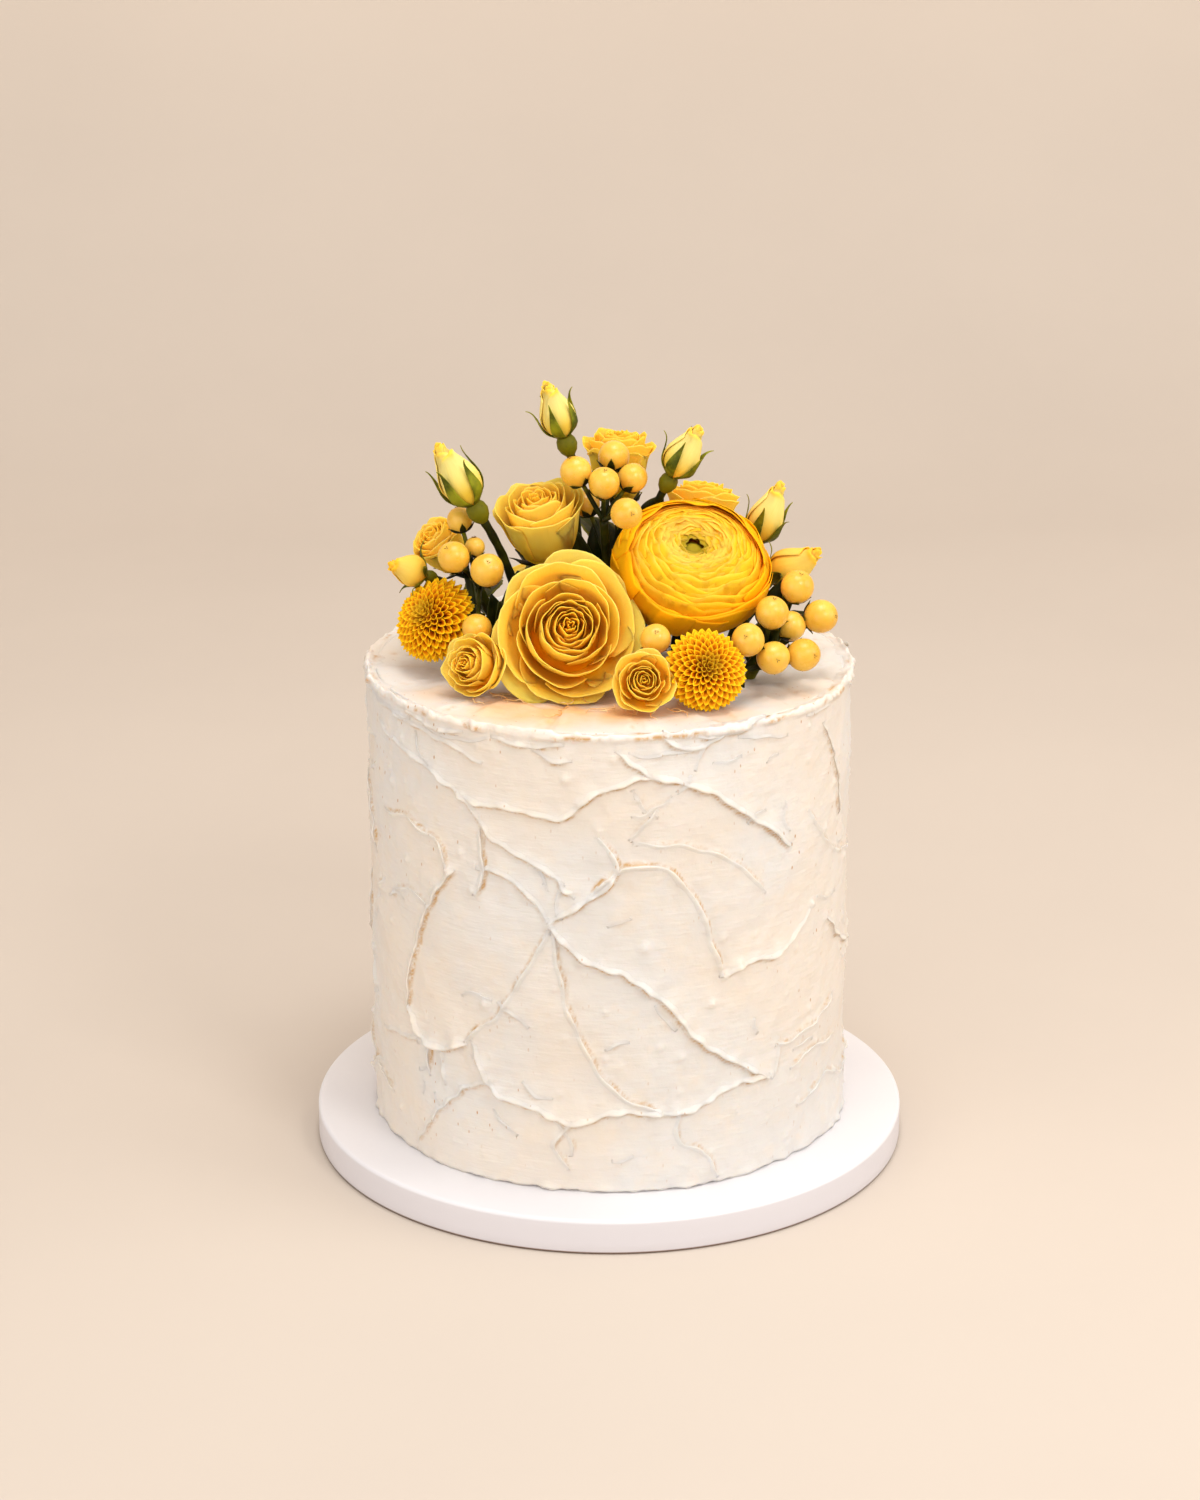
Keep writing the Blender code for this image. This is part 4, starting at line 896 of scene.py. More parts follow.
def makeRanunculus():
    draw = np.random.default_rng(ranunculus["seed"])
    radius, tall = ranunculus["radius"], ranunculus["depth"] * 0.5
    rows, columns = ranunculus["grid"]
    v = 1 - (1 - np.linspace(0, 1, rows)[:, None]) ** 1.3
    u = np.linspace(-1, 1, columns)[None, :]
    shells = []
    collar = ranunculus["collar"]
    level = [standing((np.array([(math.cos(a), math.sin(a), 0.0)]), [], {}), (0, 0, 0),
                      ranunculus["facing"],
                      math.radians(ranunculus["roll"]))[0][0][2] for a in np.linspace(0, tau, 73)]
    behind = np.linspace(0, tau, 73)[int(np.argmax(level))]  # the side that stands highest
    for k in range(ranunculus["petals"]):
        share = max(0, k - collar) / (ranunculus["petals"] - 1 - collar)
        turn = k * goldenTurn + draw.uniform(-0.1, 0.1)
        rim = mixOf(ranunculus["rim"], share**0.75) * draw.uniform(0.96, 1.04)
        length = mixOf(ranunculus["length"], share)
        if k < collar:
            back = (0.5 + 0.5 * math.cos(turn - behind)) ** 1.3
            rim = mixOf((ranunculus["collarFront"], ranunculus["collarBack"]), back) + 8 * (k / collar
                    - 0.5) + draw.uniform(-2, 2)
            length = 128 - rim
        rounded = 0.10 * np.abs(u) ** 2.2 + 0.06 * np.abs(u)
        fringe = 0.026 * np.sin(draw.uniform(5, 9) * u + draw.uniform(0,
                tau)) + 0.006 * np.sin(draw.uniform(14, 20) * u)
        polar = np.radians(rim + length * (1 - v * (1 - rounded + fringe * v**4)))
        size = 1 - 0.03 * min(1, 4 * share) - 0.13 * share + 0.035 * max(0, 1 - k / collar) + 0 * u
        waver = 1 + 0.3 * np.sin(5 * u + draw.uniform(0, tau))
        lift = (0.012 + 0.034 * min(1, 1.5 * share) + 0.03 * (k < collar)) * v**4 * waver
        sink = 0.36 * np.clip(1 - np.degrees(polar) / 40, 0, 1) ** 1.5
        r = radius * np.sin(polar) * (size + lift) * (1 + 0.02 * u)
        z = tall * (0.98 + np.cos(polar) * (size + lift) - sink) + 0.35 * ripple(draw, 2 * u, 2 * v) * v
        angle = turn + math.radians(mixOf(ranunculus["span"], share)) * u * (0.7 + 0.3 * v)
        front = np.stack([r * np.cos(angle), r * np.sin(angle), z + 0 * angle], 2)
        thick = ranunculus["thick"] * (1.1 - 0.5 * v) + 0 * u
        litRing = math.exp(-((share - 0.76) / 0.15) ** 2)  # painted light: a paler lemon ring of petals round the hollow
        young = 0.8 * min(1.0, max(0.0, (share - 0.90) / 0.09))
        shells.append(thinSheet(front, thick, tip=v * (1 - 0.08 * np.abs(u) ** 2) + 0.10 * litRing,
                                across=u + 0 * v,
                                row=max(0.0, 1 - share / 0.3), kind=draw.random(), young=young))
    heart = [(0, 1.10), (4.4, 1.20), (5.0, 1.36), (3.8, 1.47), (2.2, 1.53), (0.9, 1.55), (0, 1.54)]
    points, loops, _ = turned([(r, z * tall) for r, z in heart], 16)
    zeros = np.zeros(len(points))
    shells.append((points, loops, {"tip": zeros + 1, "across": zeros, "row": zeros, "kind": zeros,
                                   "young": zeros + 0.9}))
    head = standing(joined(shells), onTop(*ranunculus["base"]), ranunculus["facing"],
                    math.radians(ranunculus["roll"]))
    standsFor(makePiece("ranunculus_petals", *head[:2], ranunculusPaint, head[2]), "ranunculus_petal",
              "ranunculus")


makeRanunculus()


print("daisies")
daisies = {
    "daisy_left": {"radius": 14.4, "depth": 12.5, "base": (-55.2, -10.8, 15.4), "facing": (-0.60, -0.64,
            0.62), "seed": 41},
    "daisy_right": {"radius": 13.4, "depth": 11.8, "base": (29.5, -47.4, 10.1), "facing": (0.22, -0.82,
            0.52), "seed": 42},
}
floretCount = 225


def floretMesh():  # one scooped floret of unit length, its foot at the origin
    v = np.array([0, 0.35, 0.62, 0.82, 0.93, 1.0])[:, None]
    u = np.linspace(-1, 1, 7)[None, :]
    wide = np.interp(v, (0, 0.35, 0.62, 0.82, 0.93, 1.0), (0.05, 0.10, 0.15, 0.195, 0.205, 0.17))
    bend = math.radians(126) * u * (1 - 0.36 * v**2)
    scoop = wide * (1 - np.cos(bend)) - 0.05 * v**2 + 0.5 * np.clip(v - 0.8, 0, 1) ** 2
    front = np.stack([wide * np.sin(bend), scoop, v * (1 - 0.31 * np.abs(u) ** 1.2)], 2)
    points, loops, values = thinSheet(front, 0.03, tip=v + 0 * u, across=np.abs(u) + 0 * v)
    return makePiece("floret", points / mm, loops, daisyPaint, values)


def daisyShader():
    material, tree, shader = newMaterial("daisy_petal", Roughness=0.6, Subsurface_Weight=0.15,
                                         Subsurface_Scale=0.0012, Specular_IOR_Level=0.1)
    shader.inputs["Subsurface Radius"].default_value = (1.0, 0.5, 0.1)
    place = objectPlace(tree)
    tip = valueOf(tree, "tip")
    young = valueOf(tree, "young")
    # painted light: florets paler along their rims and at their tips, where light catches
    rim = sums(tree, "MULTIPLY", spread(tree, valueOf(tree, "across"), 0.45, 0.95), spread(tree, tip, 0.3,
            0.7))
    edge = sums(tree, "MAXIMUM", spread(tree, tip, 0.80, 0.97), rim)
    # painted shade: deep orange towards each floret's foot, deeper still on its inner face
    inner = blendColour(tree, spread(tree, tip, 0.45, 0.92), rgb(214, 126, 2), rgb(250, 168, 4))
    inner = blendColour(tree, sums(tree, "MULTIPLY", valueOf(tree, "inside"), spread(tree, tip, 0.95,
            0.5)), inner, rgb(190, 98, 2))
    colour = blendColour(tree, edge, inner, rgb(255, 194, 8))
    colour = blendColour(tree, spread(tree, tip, 0.90, 1.0, 0.0, 0.6), colour, rgb(255, 204, 26))
    colour = blendColour(tree, sums(tree, "MULTIPLY", young, 0.75), colour, rgb(206, 164, 30))
    colour = blendColour(tree, spread(tree, noiseOf(tree, place, 320.0, 2.0), 0.4, 0.75, 0.0, 0.15),
                         colour, rgb(240, 166, 20))
    tree.links.new(colour, shader.inputs["Base Color"])
    tree.links.new(bumpOf(tree, noiseOf(tree, place, 1400.0, 2.0), 0.2, 0.0003), shader.inputs["Normal"])
    return material


daisyPaint = daisyShader()


def daisyTree(floret):  # florets on a dome, each turned on by the golden angle
    tree = bpy.data.node_groups.new("pompon", "GeometryNodeTree")
    for name, kind in (("Count", "NodeSocketInt"), ("Radius", "NodeSocketFloat"),
                       ("Depth", "NodeSocketFloat"), ("Seed", "NodeSocketInt")):
        tree.interface.new_socket(name, in_out="INPUT", socket_type=kind)
    tree.interface.new_socket("Geometry", in_out="OUTPUT", socket_type="NodeSocketGeometry")
    given = tree.nodes.new("NodeGroupInput")
    result = tree.nodes.new("NodeGroupOutput")
    dots = addNode(tree, "GeometryNodePoints", {"Count": given.outputs["Count"]})
    number = tree.nodes.new("GeometryNodeInputIndex").outputs[0]
    share = sums(tree, "DIVIDE", sums(tree, "ADD", number, 0.5), given.outputs["Count"])
    wild = addNode(tree, "FunctionNodeRandomValue", {2: -0.03, 3: 0.03, "Seed": given.outputs["Seed"]},
                   data_type="FLOAT").outputs[1]
    tilt = sums(tree, "ADD", sums(tree, "SUBTRACT", math.radians(88), sums(tree, "MULTIPLY",
            sums(tree, "POWER", share, 0.62), math.radians(116))), wild)
    turn = sums(tree, "ADD", sums(tree, "MULTIPLY", number, goldenTurn), wild)
    level, upward = sums(tree, "COSINE", tilt), sums(tree, "SINE", tilt)
    heading = addNode(tree, "ShaderNodeCombineXYZ", {
        "X": sums(tree, "MULTIPLY", sums(tree, "COSINE", turn), level),
        "Y": sums(tree, "MULTIPLY", sums(tree, "SINE", turn), level), "Z": upward}).outputs[0]
    core = addNode(tree, "ShaderNodeCombineXYZ", {
        "X": sums(tree, "MULTIPLY", given.outputs["Radius"], 0.46),
        "Y": sums(tree, "MULTIPLY", given.outputs["Radius"], 0.46),
        "Z": sums(tree, "MULTIPLY", given.outputs["Depth"], 0.34)}).outputs[0]
    spot = addNode(tree, "ShaderNodeVectorMath", {0: heading, 1: core}, operation="MULTIPLY").outputs[0]
    raised = addNode(tree, "ShaderNodeCombineXYZ", {"Z": sums(tree, "MULTIPLY", given.outputs["Depth"],
            0.38)}).outputs[0]
    spot = addNode(tree, "ShaderNodeVectorMath", {0: spot, 1: raised}, operation="ADD").outputs[0]
    placed = addNode(tree, "GeometryNodeSetPosition", {"Geometry": dots.outputs[0], "Position": spot})
    aim = addNode(tree, "FunctionNodeAlignRotationToVector", {"Vector": heading}, axis="Z")
    aim = addNode(tree, "FunctionNodeAlignRotationToVector", {"Rotation": aim.outputs[0],
            "Vector": (0, 0, 1)}, axis="Y", pivot_axis="Z")
    longer = addNode(tree, "ShaderNodeMapRange", {"Value": share, "From Min": 0.0, "From Max": 0.55,
                                                  "To Min": 0.26, "To Max": 0.56}).outputs[0]
    length = sums(tree, "MULTIPLY", given.outputs["Radius"], longer)
    wider = addNode(tree, "ShaderNodeMapRange", {"Value": share, "From Min": 0.0, "From Max": 1.0,
                                                 "To Min": 1.25, "To Max": 0.98}).outputs[0]
    width = sums(tree, "MULTIPLY", length, wider)
    size = addNode(tree, "ShaderNodeCombineXYZ", {"X": width, "Y": width, "Z": length}).outputs[0]
    shape = addNode(tree, "GeometryNodeObjectInfo", {"Object": floret}).outputs["Geometry"]
    copies = addNode(tree, "GeometryNodeInstanceOnPoints", {"Points": placed.outputs[0], "Instance": shape,
                                                            "Rotation": aim.outputs[0], "Scale": size})
    greener = spread(tree, share, 0.16, 0.04)
    young = addNode(tree, "GeometryNodeStoreNamedAttribute", {
        "Geometry": copies.outputs[0], "Name": "young", "Value": greener}, data_type="FLOAT",
        domain="INSTANCE")
    ball = addNode(tree, "GeometryNodeMeshUVSphere", {"Segments": 24, "Rings": 14, "Radius": 1.0})
    heart = addNode(tree, "GeometryNodeTransform", {"Geometry": ball.outputs[0], "Translation": raised,
                                                    "Scale": core})
    both = addNode(tree, "GeometryNodeJoinGeometry")
    tree.links.new(young.outputs[0], both.inputs[0])
    tree.links.new(heart.outputs[0], both.inputs[0])
    real = addNode(tree, "GeometryNodeRealizeInstances", {"Geometry": both.outputs[0]})
    painted = addNode(tree, "GeometryNodeSetMaterial", {"Geometry": real.outputs[0],
                                                        "Material": daisyPaint})
    tree.links.new(painted.outputs[0], result.inputs[0])
    return tree


def grown(name, tree, inputs):  # an object with a plain mesh of what a node tree makes
    holder = bpy.data.objects.new(name, bpy.data.meshes.new(name))
    bpy.context.scene.collection.objects.link(holder)
    modifier = holder.modifiers.new(name, "NODES")
    modifier.node_group = tree
    for item in tree.interface.items_tree:
        if item.item_type == "SOCKET" and item.in_out == "INPUT" and item.name in inputs:
            modifier[item.identifier] = inputs[item.name]
    bpy.context.view_layer.update()
    solid = bpy.data.meshes.new_from_object(holder.evaluated_get(bpy.context.evaluated_depsgraph_get()))
    holder.modifiers.clear()
    holder.data = solid
    return holder


def makeDaisies():
    floret = floretMesh()
    tree = daisyTree(floret)
    for name, daisy in daisies.items():
        head = grown(name + "_florets", tree, {"Count": floretCount, "Radius": daisy["radius"] * mm,
                                               "Depth": daisy["depth"] * mm, "Seed": daisy["seed"]})
        turn = Vector(daisy["facing"]).normalized().to_track_quat("Z", "Y").to_matrix().to_4x4()
        head.data.transform(Matrix.Translation(Vector(onTop(*daisy["base"])) * mm) @ turn)
        head.data.polygons.foreach_set("use_smooth", [True] * len(head.data.polygons))
        standsFor(head, "daisy_petal", name)
    bpy.data.objects.remove(floret)


makeDaisies()


print("greens")


def greenShader(name, dark, light, edge, rough=0.5):
    material, tree, shader = newMaterial(name, Roughness=rough, Subsurface_Weight=0.06,
                                         Subsurface_Scale=0.001, Specular_IOR_Level=0.14)
    place = objectPlace(tree)
    along = valueOf(tree, "along")
    colour = blendColour(tree, spread(tree, noiseOf(tree, place, 130.0, 3.0), 0.35, 0.68), dark, light)
    colour = blendColour(tree, spread(tree, along, 0.75, 1.05, 0.0, 0.45), colour, edge)
    colour = blendColour(tree, spread(tree, noiseOf(tree, place, 700.0, 2.0), 0.55, 0.75, 0.0, 0.35),
                         colour, light)
    tree.links.new(colour, shader.inputs["Base Color"])
    ribs = noiseOf(tree, objectPlace(tree, (1, 1, 0.15)), 900.0, 2.0)
    tree.links.new(bumpOf(tree, ribs, 0.3, 0.0004), shader.inputs["Normal"])
    return material


stemPaint = greenShader("green_stem", rgb(20, 22, 1), rgb(52, 55, 4), rgb(152, 146, 16))
sepalPaint = greenShader("sepal", rgb(66, 74, 8), rgb(140, 142, 24), rgb(196, 184, 52))
leafPaint = greenShader("leaf_blade", rgb(16, 22, 3), rgb(44, 48, 8), rgb(66, 68, 14), rough=0.45)


def leafBlade(base, tip, up, width, draw, rows=16, columns=9):
    base, tip = np.asarray(base, float), np.asarray(tip, float)
    along = tip - base
    length = np.linalg.norm(along)
    side = np.cross(along, up)
    side /= np.linalg.norm(side)
    over = np.cross(side, along) / length
    t = np.linspace(0.0, 1, rows)[:, None]
    u = np.linspace(-1, 1, columns)[None, :]
    half = width / 2 * np.sin(math.pi * np.clip(t, 0.01, 0.985) ** 0.8) ** 0.8
    half = half * (1 + 0.10 * ((t * 9) % 1.0))
    curve = (0.10 * length * np.sin(math.pi * t) + 0.25 * half * np.abs(u)
             + 0.35 * ripple(draw, 3 * u, 5 * t) - 0.10 * half * np.exp(-(u / 0.12) ** 2))
    front = base + along * t[..., None] + (half * u)[..., None] * side + curve[..., None] * over
    return thinSheet(front, 0.30 + 0 * t * u, along=np.abs(u) + 0 * t)


stems = {
    "rose_front_stem": ("rose_front", 1.8, [(-16.0, -16.0, 8.0), (-16.0, -10.0, 0.0)]),
    "ranunculus_stem": ("ranunculus", 1.9, [(23.0, 4.0, 9.0), (22.0, 6.0, 0.0)]),
    "rose_back_left_stem": ("rose_back_left", 1.8, [(-19.0, 10.0, 15.0), (-19.0, 12.0, 0.0)]),
    "rose_top_stem": ("rose_top", 1.6, [(3.0, 29.0, 22.0), (2.0, 28.0, 0.0)]),
    "rose_back_right_stem": ("rose_back_right", 1.6, [(30.0, 28.0, 14.0), (29.0, 26.0, 0.0)]),
    "rose_far_left_stem": ("rose_far_left", 1.4, [(-46.0, 12.0, 14.0), (-44.0, 14.0, 0.0)]),
    "daisy_left_stem": ("daisy_left", 1.3, [(-50.0, -4.0, 7.0), (-49.0, -3.0, 0.0)]),
}
stemLeaves = [
    ("rose_top_stem", (3.0, 29.3, 26.0), (-12.0, 46.0, 38.0), 13.0),
    ("rose_top_stem", (2.8, 28.9, 20.0), (18.0, 48.0, 33.0), 14.0),
    ("rose_back_right_stem", (30.2, 28.4, 17.0), (50.0, 34.0, 27.0), 13.0),
    ("rose_back_right_stem", (30.0, 28.0, 13.0), (38.0, 50.0, 14.0), 12.0),
    ("rose_back_left_stem", (-19.0, 10.1, 16.0), (-26.0, 32.0, 27.0), 13.0),
    ("rose_far_left_stem", (-46.3, 12.3, 15.0), (-38.0, 34.0, 18.0), 12.0),
]
looseLeaves = {
    "leaf_middle": ((-3.0, 13.0, 22.0), (-5.0, 12.0, 45.0), (-0.2, -1.0, 0.2), 7.0),
    "leaf_left": ((-32.0, -12.0, 4.0), (-36.0, -24.0, 27.0), (0.2, -1.0, 0.5), 13.0),
    "leaf_right": ((50.0, 0.0, 3.0), (70.0, 2.0, 15.0), (-0.4, -0.6, 0.8), 13.0),
    "leaf_back": ((2.0, 40.0, 3.0), (-4.0, 62.0, 8.0), (0.0, 0.2, 1.0), 14.0),
}


# Dark leaves that fill the gaps between the flowers: base, tip, upper side, width
fillerLeaves = [
    ((-36, -8, 3), (-39, -15, 27), (0.3, -1, 0.2), 10), ((-33, -4, 6), (-30, -8, 33), (-0.2, -1, 0.2), 9),
    ((-42, 0, 4), (-56, 6, 24), (0, -0.8, 0.6), 10), ((-7, 13, 18), (-12, 6, 44), (0.2, -1, 0.1), 9),
    ((4, 14, 20), (7, 9, 47), (-0.2, -1, 0.2), 8), ((10, 16, 26), (18, 18, 52), (-0.3, -1, 0.2), 8),
    ((50, 2, 12), (60, -5, 31), (0.2, -1, 0.4), 9), ((46, -18, 4), (57, -25, 25), (-0.2, -1, 0.5), 10),
    ((44, -22, 4), (64, -30, 9), (0, -0.5, 0.9), 10), ((10, -22, 3), (18, -38, 15), (0.1, -0.6, 0.8), 10),
    ((36, -36, 2), (43, -49, 6), (0, -0.3, 1), 8),
    ((-20, 20, 8), (-32, 30, 30), (0, 0.5, 0.8), 12), ((14, 32, 8), (12, 50, 30), (0, 1, 0.4), 12),
    ((-4, 34, 6), (-12, 56, 22), (0, 0.8, 0.6), 13), ((30, 34, 4), (34, 54, 22), (0, 0.8, 0.6), 13),
    ((-34, 18, 3), (-52, 30, 12), (0, 0.3, 1), 13), ((44, 20, 3), (60, 30, 14), (0, 0.3, 1), 13),
    ((-26, 30, 2), (-36, 50, 6), (0, 0.3, 1), 13), ((22, 46, 2), (34, 62, 5), (0, 0.3, 1), 12),
    ((-8, -6, 2), (5, -14, 13), (0, -0.3, 1), 12), ((-5, 2, 2), (-20, -5, 15), (0, -0.3, 1), 12),
    ((-3, 6, 3), (13, -4, 17), (0, -0.3, 1), 12), ((-12, 24, 2), (-27, 18, 14), (0, 0.2, 1), 13),
    ((10, 22, 3), (22, 13, 15), (0, 0.2, 1), 12), ((-22, -2, 2), (-36, 8, 12), (0, 0.2, 1), 12),
]


def facingOf(bloom):  # a bloom's base, facing, radius, and how high above its base it is widest
    if bloom in roses:
        kind, radius, depth, base, facing = roses[bloom][:5]
        return base, facing, radius, depth * roseForms[kind]["rims"][0][2]
    head = daisies.get(bloom, ranunculus)
    return head["base"], head["facing"], head["radius"], head["depth"] * 0.45


sepalCount = 5


def sepalBlade(hold, length, wide, angle, flare, rows=9, columns=5):  # hold gives the radius it hugs
    t = np.linspace(0, 1, rows)[:, None]
    u = np.linspace(-1, 1, columns)[None, :]
    height = length * t
    half = wide * np.interp(t, (0, 0.15, 0.32, 0.55, 0.78, 1), (0.72, 0.95, 1.0, 0.66, 0.22, 0.05))
    r = hold(height) + flare * np.clip(t - 0.45, 0, 1) ** 2 * 3.3
    z = height - flare * np.clip(t - 0.7, 0, 1) ** 2 * 3.0
    lean = angle + 0.10 * math.sin(7 * angle) * t + half * u / np.maximum(r, 0.8)
    r = r + 0.10 * half * u**2
    front = np.stack([r * np.cos(lean), r * np.sin(lean), z + 0 * lean], 2)
    return thinSheet(front, 0.35 - 0.15 * t + 0 * u, along=0.4 * np.abs(u) + 0.6 * t)


def makeStems():
    draw = np.random.default_rng(51)
    for name, (bloom, radius, points) in stems.items():
        base, facing, wide, shoulder = facingOf(bloom)
        base = onTop(*base)
        aim = np.array(Vector(facing).normalized())
        path = smoothPath([base - aim * 0.6, base - aim * 4] + [onTop(*p) for p in points], 26)
        shells = [tube(path, radius * (0.92 + 0.05 * np.sin(np.arange(26))), 12, along=0.0)]
        cup = [(0, -4.6), (1.0 * radius, -4.2), (1.6 * radius, -2.8), (2.0 * radius, -1.2),
               (1.9 * radius, -0.6), (0, -0.5)]
        roundPoints, loops, _ = turned(cup, 16)
        shells.append(standing((roundPoints, loops, {"along": np.zeros(len(roundPoints))}), base, facing))
        under = lambda h: 0.6 + wide * np.interp((h - 1.2) / shoulder, (-0.2, 0, 0.10, 0.34, 1.0),
                                                 (0.12, 0.28, 0.60, 0.84, 1.08))
        for k in range(sepalCount):
            blade = sepalBlade(under, 0.24 * shoulder + 1.2, 0.075 * wide + 0.6, k * tau / sepalCount,
                               0.3 + 1.2 * draw.random())
            shells.append(standing(blade, base - aim * 1.7, facing))
        for grows, start, tip, width in stemLeaves:
            if grows == name:
                shells.append(leafBlade(onTop(*start), onTop(*tip), (0, 0, 1), width, draw))
        solid = joined(shells)
        standsFor(makePiece(name + "_green", *solid[:2], stemPaint, solid[2]), "green_stem", name)
    for name, (base, tip, up, width) in looseLeaves.items():
        blade = leafBlade(onTop(*base), onTop(*tip), up, width, draw)
        standsFor(makePiece(name + "_blade", *blade[:2], leafPaint, blade[2]), "green_stem", name)
    blades = [leafBlade(onTop(*base), onTop(*tip), up, width, draw) for base, tip, up,
              width in fillerLeaves]
    blades = joined(blades)
    standsFor(makePiece("filler_leaves", *blades[:2], leafPaint, blades[2]), "green_stem")


makeStems()


buds = {
    "bud_a": (7.1, 3.7, (-43.3, -6.0, 52.7), (-56.2, -10.0, 75.9), [(-33.0, 0.0, 29.5), (-29.0, 8.0, 0.0)]),
    "bud_b": (6.2, 3.5, (-14.1, 10.0, 71.3), (-20.9, 6.0, 92.8), [(-12.0, 19.0, 58.0), (-8.0, 22.0, 0.0)]),
    "bud_c": (6.3, 3.2, (19.3, 6.0, 59.4), (29.6, 2.0, 79.3), [(12.0, 14.0, 49.0), (8.0, 18.0, 0.0)]),
    "bud_d": (6.3, 3.0, (48.4, 13.0, 35.0), (57.0, 10.0, 57.9), [(45.0, 14.0, 20.0), (40.0, 12.0, 0.0)]),
    "bud_e": (7.0, 2.8, (51.8, 7.0, 24.8), (69.8, 2.0, 36.9), [(46.0, 6.0, 12.0), (44.0, 6.0, 0.0)]),
    "bud_f": (5.6, 2.2, (-59.4, -3.0, 29.6), (-72.8, -8.0, 35.2), [(-52.0, 0.0, 16.0), (-47.0, 2.0, 0.0)]),
}
budPetals = 7
goldenBuds = ("bud_e", "bud_f")
budOutline = [(0.0, 0.34), (0.12, 0.76), (0.22, 0.93), (0.33, 1.0), (0.45, 0.96), (0.58, 0.81),
              (0.72, 0.60), (0.86, 0.41), (1.0, 0.27)]


def makeBud(name, radius, hipRadius, hip, tip, route, seed):
    draw = np.random.default_rng(seed)
    hip, tip = onTop(*hip), onTop(*tip)
    aim = (tip - hip) / np.linalg.norm(tip - hip)
    length = np.linalg.norm(tip - hip) - hipRadius
    base = hip + aim * hipRadius
    heights, widths = np.array(budOutline).T
    outline = lambda t: np.interp(t, heights, widths)
    shells = []
    for k in range(budPetals):
        share = k / (budPetals - 1)
        v = np.linspace(0, 1, 18)[:, None]
        u = np.linspace(-1, 1, 17)[None, :]
        tall = (0.86 + 0.16 * share) * draw.uniform(0.97, 1.03)
        reach = v * (1 - 0.14 * np.abs(u) ** 3)
        t = reach * tall
        r = radius * (outline(t) * (0.97 - 0.30 * share) + 0.05 * u)
        flare = np.clip((reach - 0.88) / 0.12, 0, None) ** 2
        r = r + radius * 0.07 * flare * (1 + 0.5 * np.sin(5 * u + draw.uniform(0, tau)))
        r = r + 0.10 * ripple(draw, 2 * u, 2 * v) * v
        angle = k * goldenTurn + math.radians(100) * u + 0.7 * v
        front = np.stack([r * np.cos(angle), r * np.sin(angle), length * t + 0.25 * flare * np.sin(7 * u)
                          + 0 * angle], 2)
        shells.append(thinSheet(front, 0.36 - 0.12 * v + 0 * u, tip=v * (1 - 0.1 * np.abs(u) ** 2),
                                across=u + 0 * v, row=0.3 * share, kind=draw.random()))
    head = standing(joined(shells), base, aim)
    paint = goldPaint if name in goldenBuds else budPaint
    standsFor(makePiece(name + "_petals", *head[:2], paint, head[2]), "bud_petal", name)
    # the hip, its five sepals and the stem
    hug = lambda h: radius * np.interp(np.clip(h / length, 0, 1), heights, widths) * 1.02 + 0.35
    greens = []
    for k in range(sepalCount):
        flare = draw.uniform(2.6, 6.0)
        tall = draw.uniform(0.34, 0.46) if name in goldenBuds else draw.uniform(0.62, 0.84)
        blade = sepalBlade(hug, length * tall, 0.30 * radius, k * tau / sepalCount + 0.5, flare, rows=15)
        greens.append(standing(blade, base, aim))
    solid = joined(greens)
    sepals = makePiece(name + "_sepals", *solid[:2], sepalPaint, solid[2])
    standsFor(sepals, "green_stem", name + "_calyx")
    hipShape = [(0, -2.35), (0.45, -2.1), (0.80, -1.65), (1.0, -1.05), (0.92, -0.5), (0.70, -0.12),
                (0.62, 0.0), (0, 0.02)]
    roundPoints, loops, _ = turned([(r * hipRadius, z * hipRadius) for r, z in hipShape], 20)
    shells = [standing((roundPoints, loops, {"along": np.ones(len(roundPoints))}), base, aim)]
    path = smoothPath([hip - aim * hipRadius * 0.9, hip - aim * hipRadius * 2.0]
                      + [onTop(*p) for p in route], 34)
    shells.append(tube(path, hipRadius * 0.40 * (1 + 0.06 * np.sin(np.arange(34) * 1.3)), 12, along=0.0))
    solid = joined(shells)
    standsFor(makePiece(name + "_hip", *solid[:2], stemPaint, solid[2]), "green_stem", name + "_calyx")


for seed, (name, bud) in enumerate(buds.items(), start=61):
    makeBud(name, *bud, seed)


print("threads")
threads = {"count": 20, "from": -50, "to": 24, "reach": (49, 62), "thick": 0.17, "seed": 81}


def makeThreads():  # the fine curled strands that lie on the icing under the front flowers
    draw = np.random.default_rng(threads["seed"])
    material, tree, shader = newMaterial("thread", Roughness=0.5, Subsurface_Weight=0.2,
                                         Subsurface_Scale=0.002)
    tint = noiseOf(tree, objectPlace(tree), 300.0, 2.0)
    tree.links.new(blendColour(tree, spread(tree, tint, 0.35, 0.65), rgb(240, 206, 150),
                               rgb(214, 152, 76)), shader.inputs["Base Color"])
    shells = []
    for _ in range(threads["count"]):
        a = math.radians(draw.uniform(threads["from"], threads["to"]))
        reach = draw.uniform(*threads["reach"])
        heading, bend = draw.uniform(0, tau), draw.uniform(0.25, 0.9) * draw.choice([-1, 1])
        place, run = np.array([reach * math.sin(a), -reach * math.cos(a)]), []
        for k in range(6):
            run.append((place[0], place[1], 0.5 + 0.7 * math.sin(k * 1.3 + a * 9) ** 2))
            place = place + 2.0 * np.array([math.cos(heading), math.sin(heading)])
            heading += bend * draw.uniform(0.5, 1.4)
        if max(math.hypot(x, y) for x, y, _ in run) > 70:
            continue
        path = smoothPath([onTop(*p) for p in run], 22)
        shells.append(tube(path, threads["thick"] * np.sin(np.linspace(0.35, math.pi - 0.2, 22)) ** 0.6, 6))
    solid = joined(shells)
    standsFor(makePiece("threads", *solid[:2], material, solid[2]), "icing")


makeThreads()


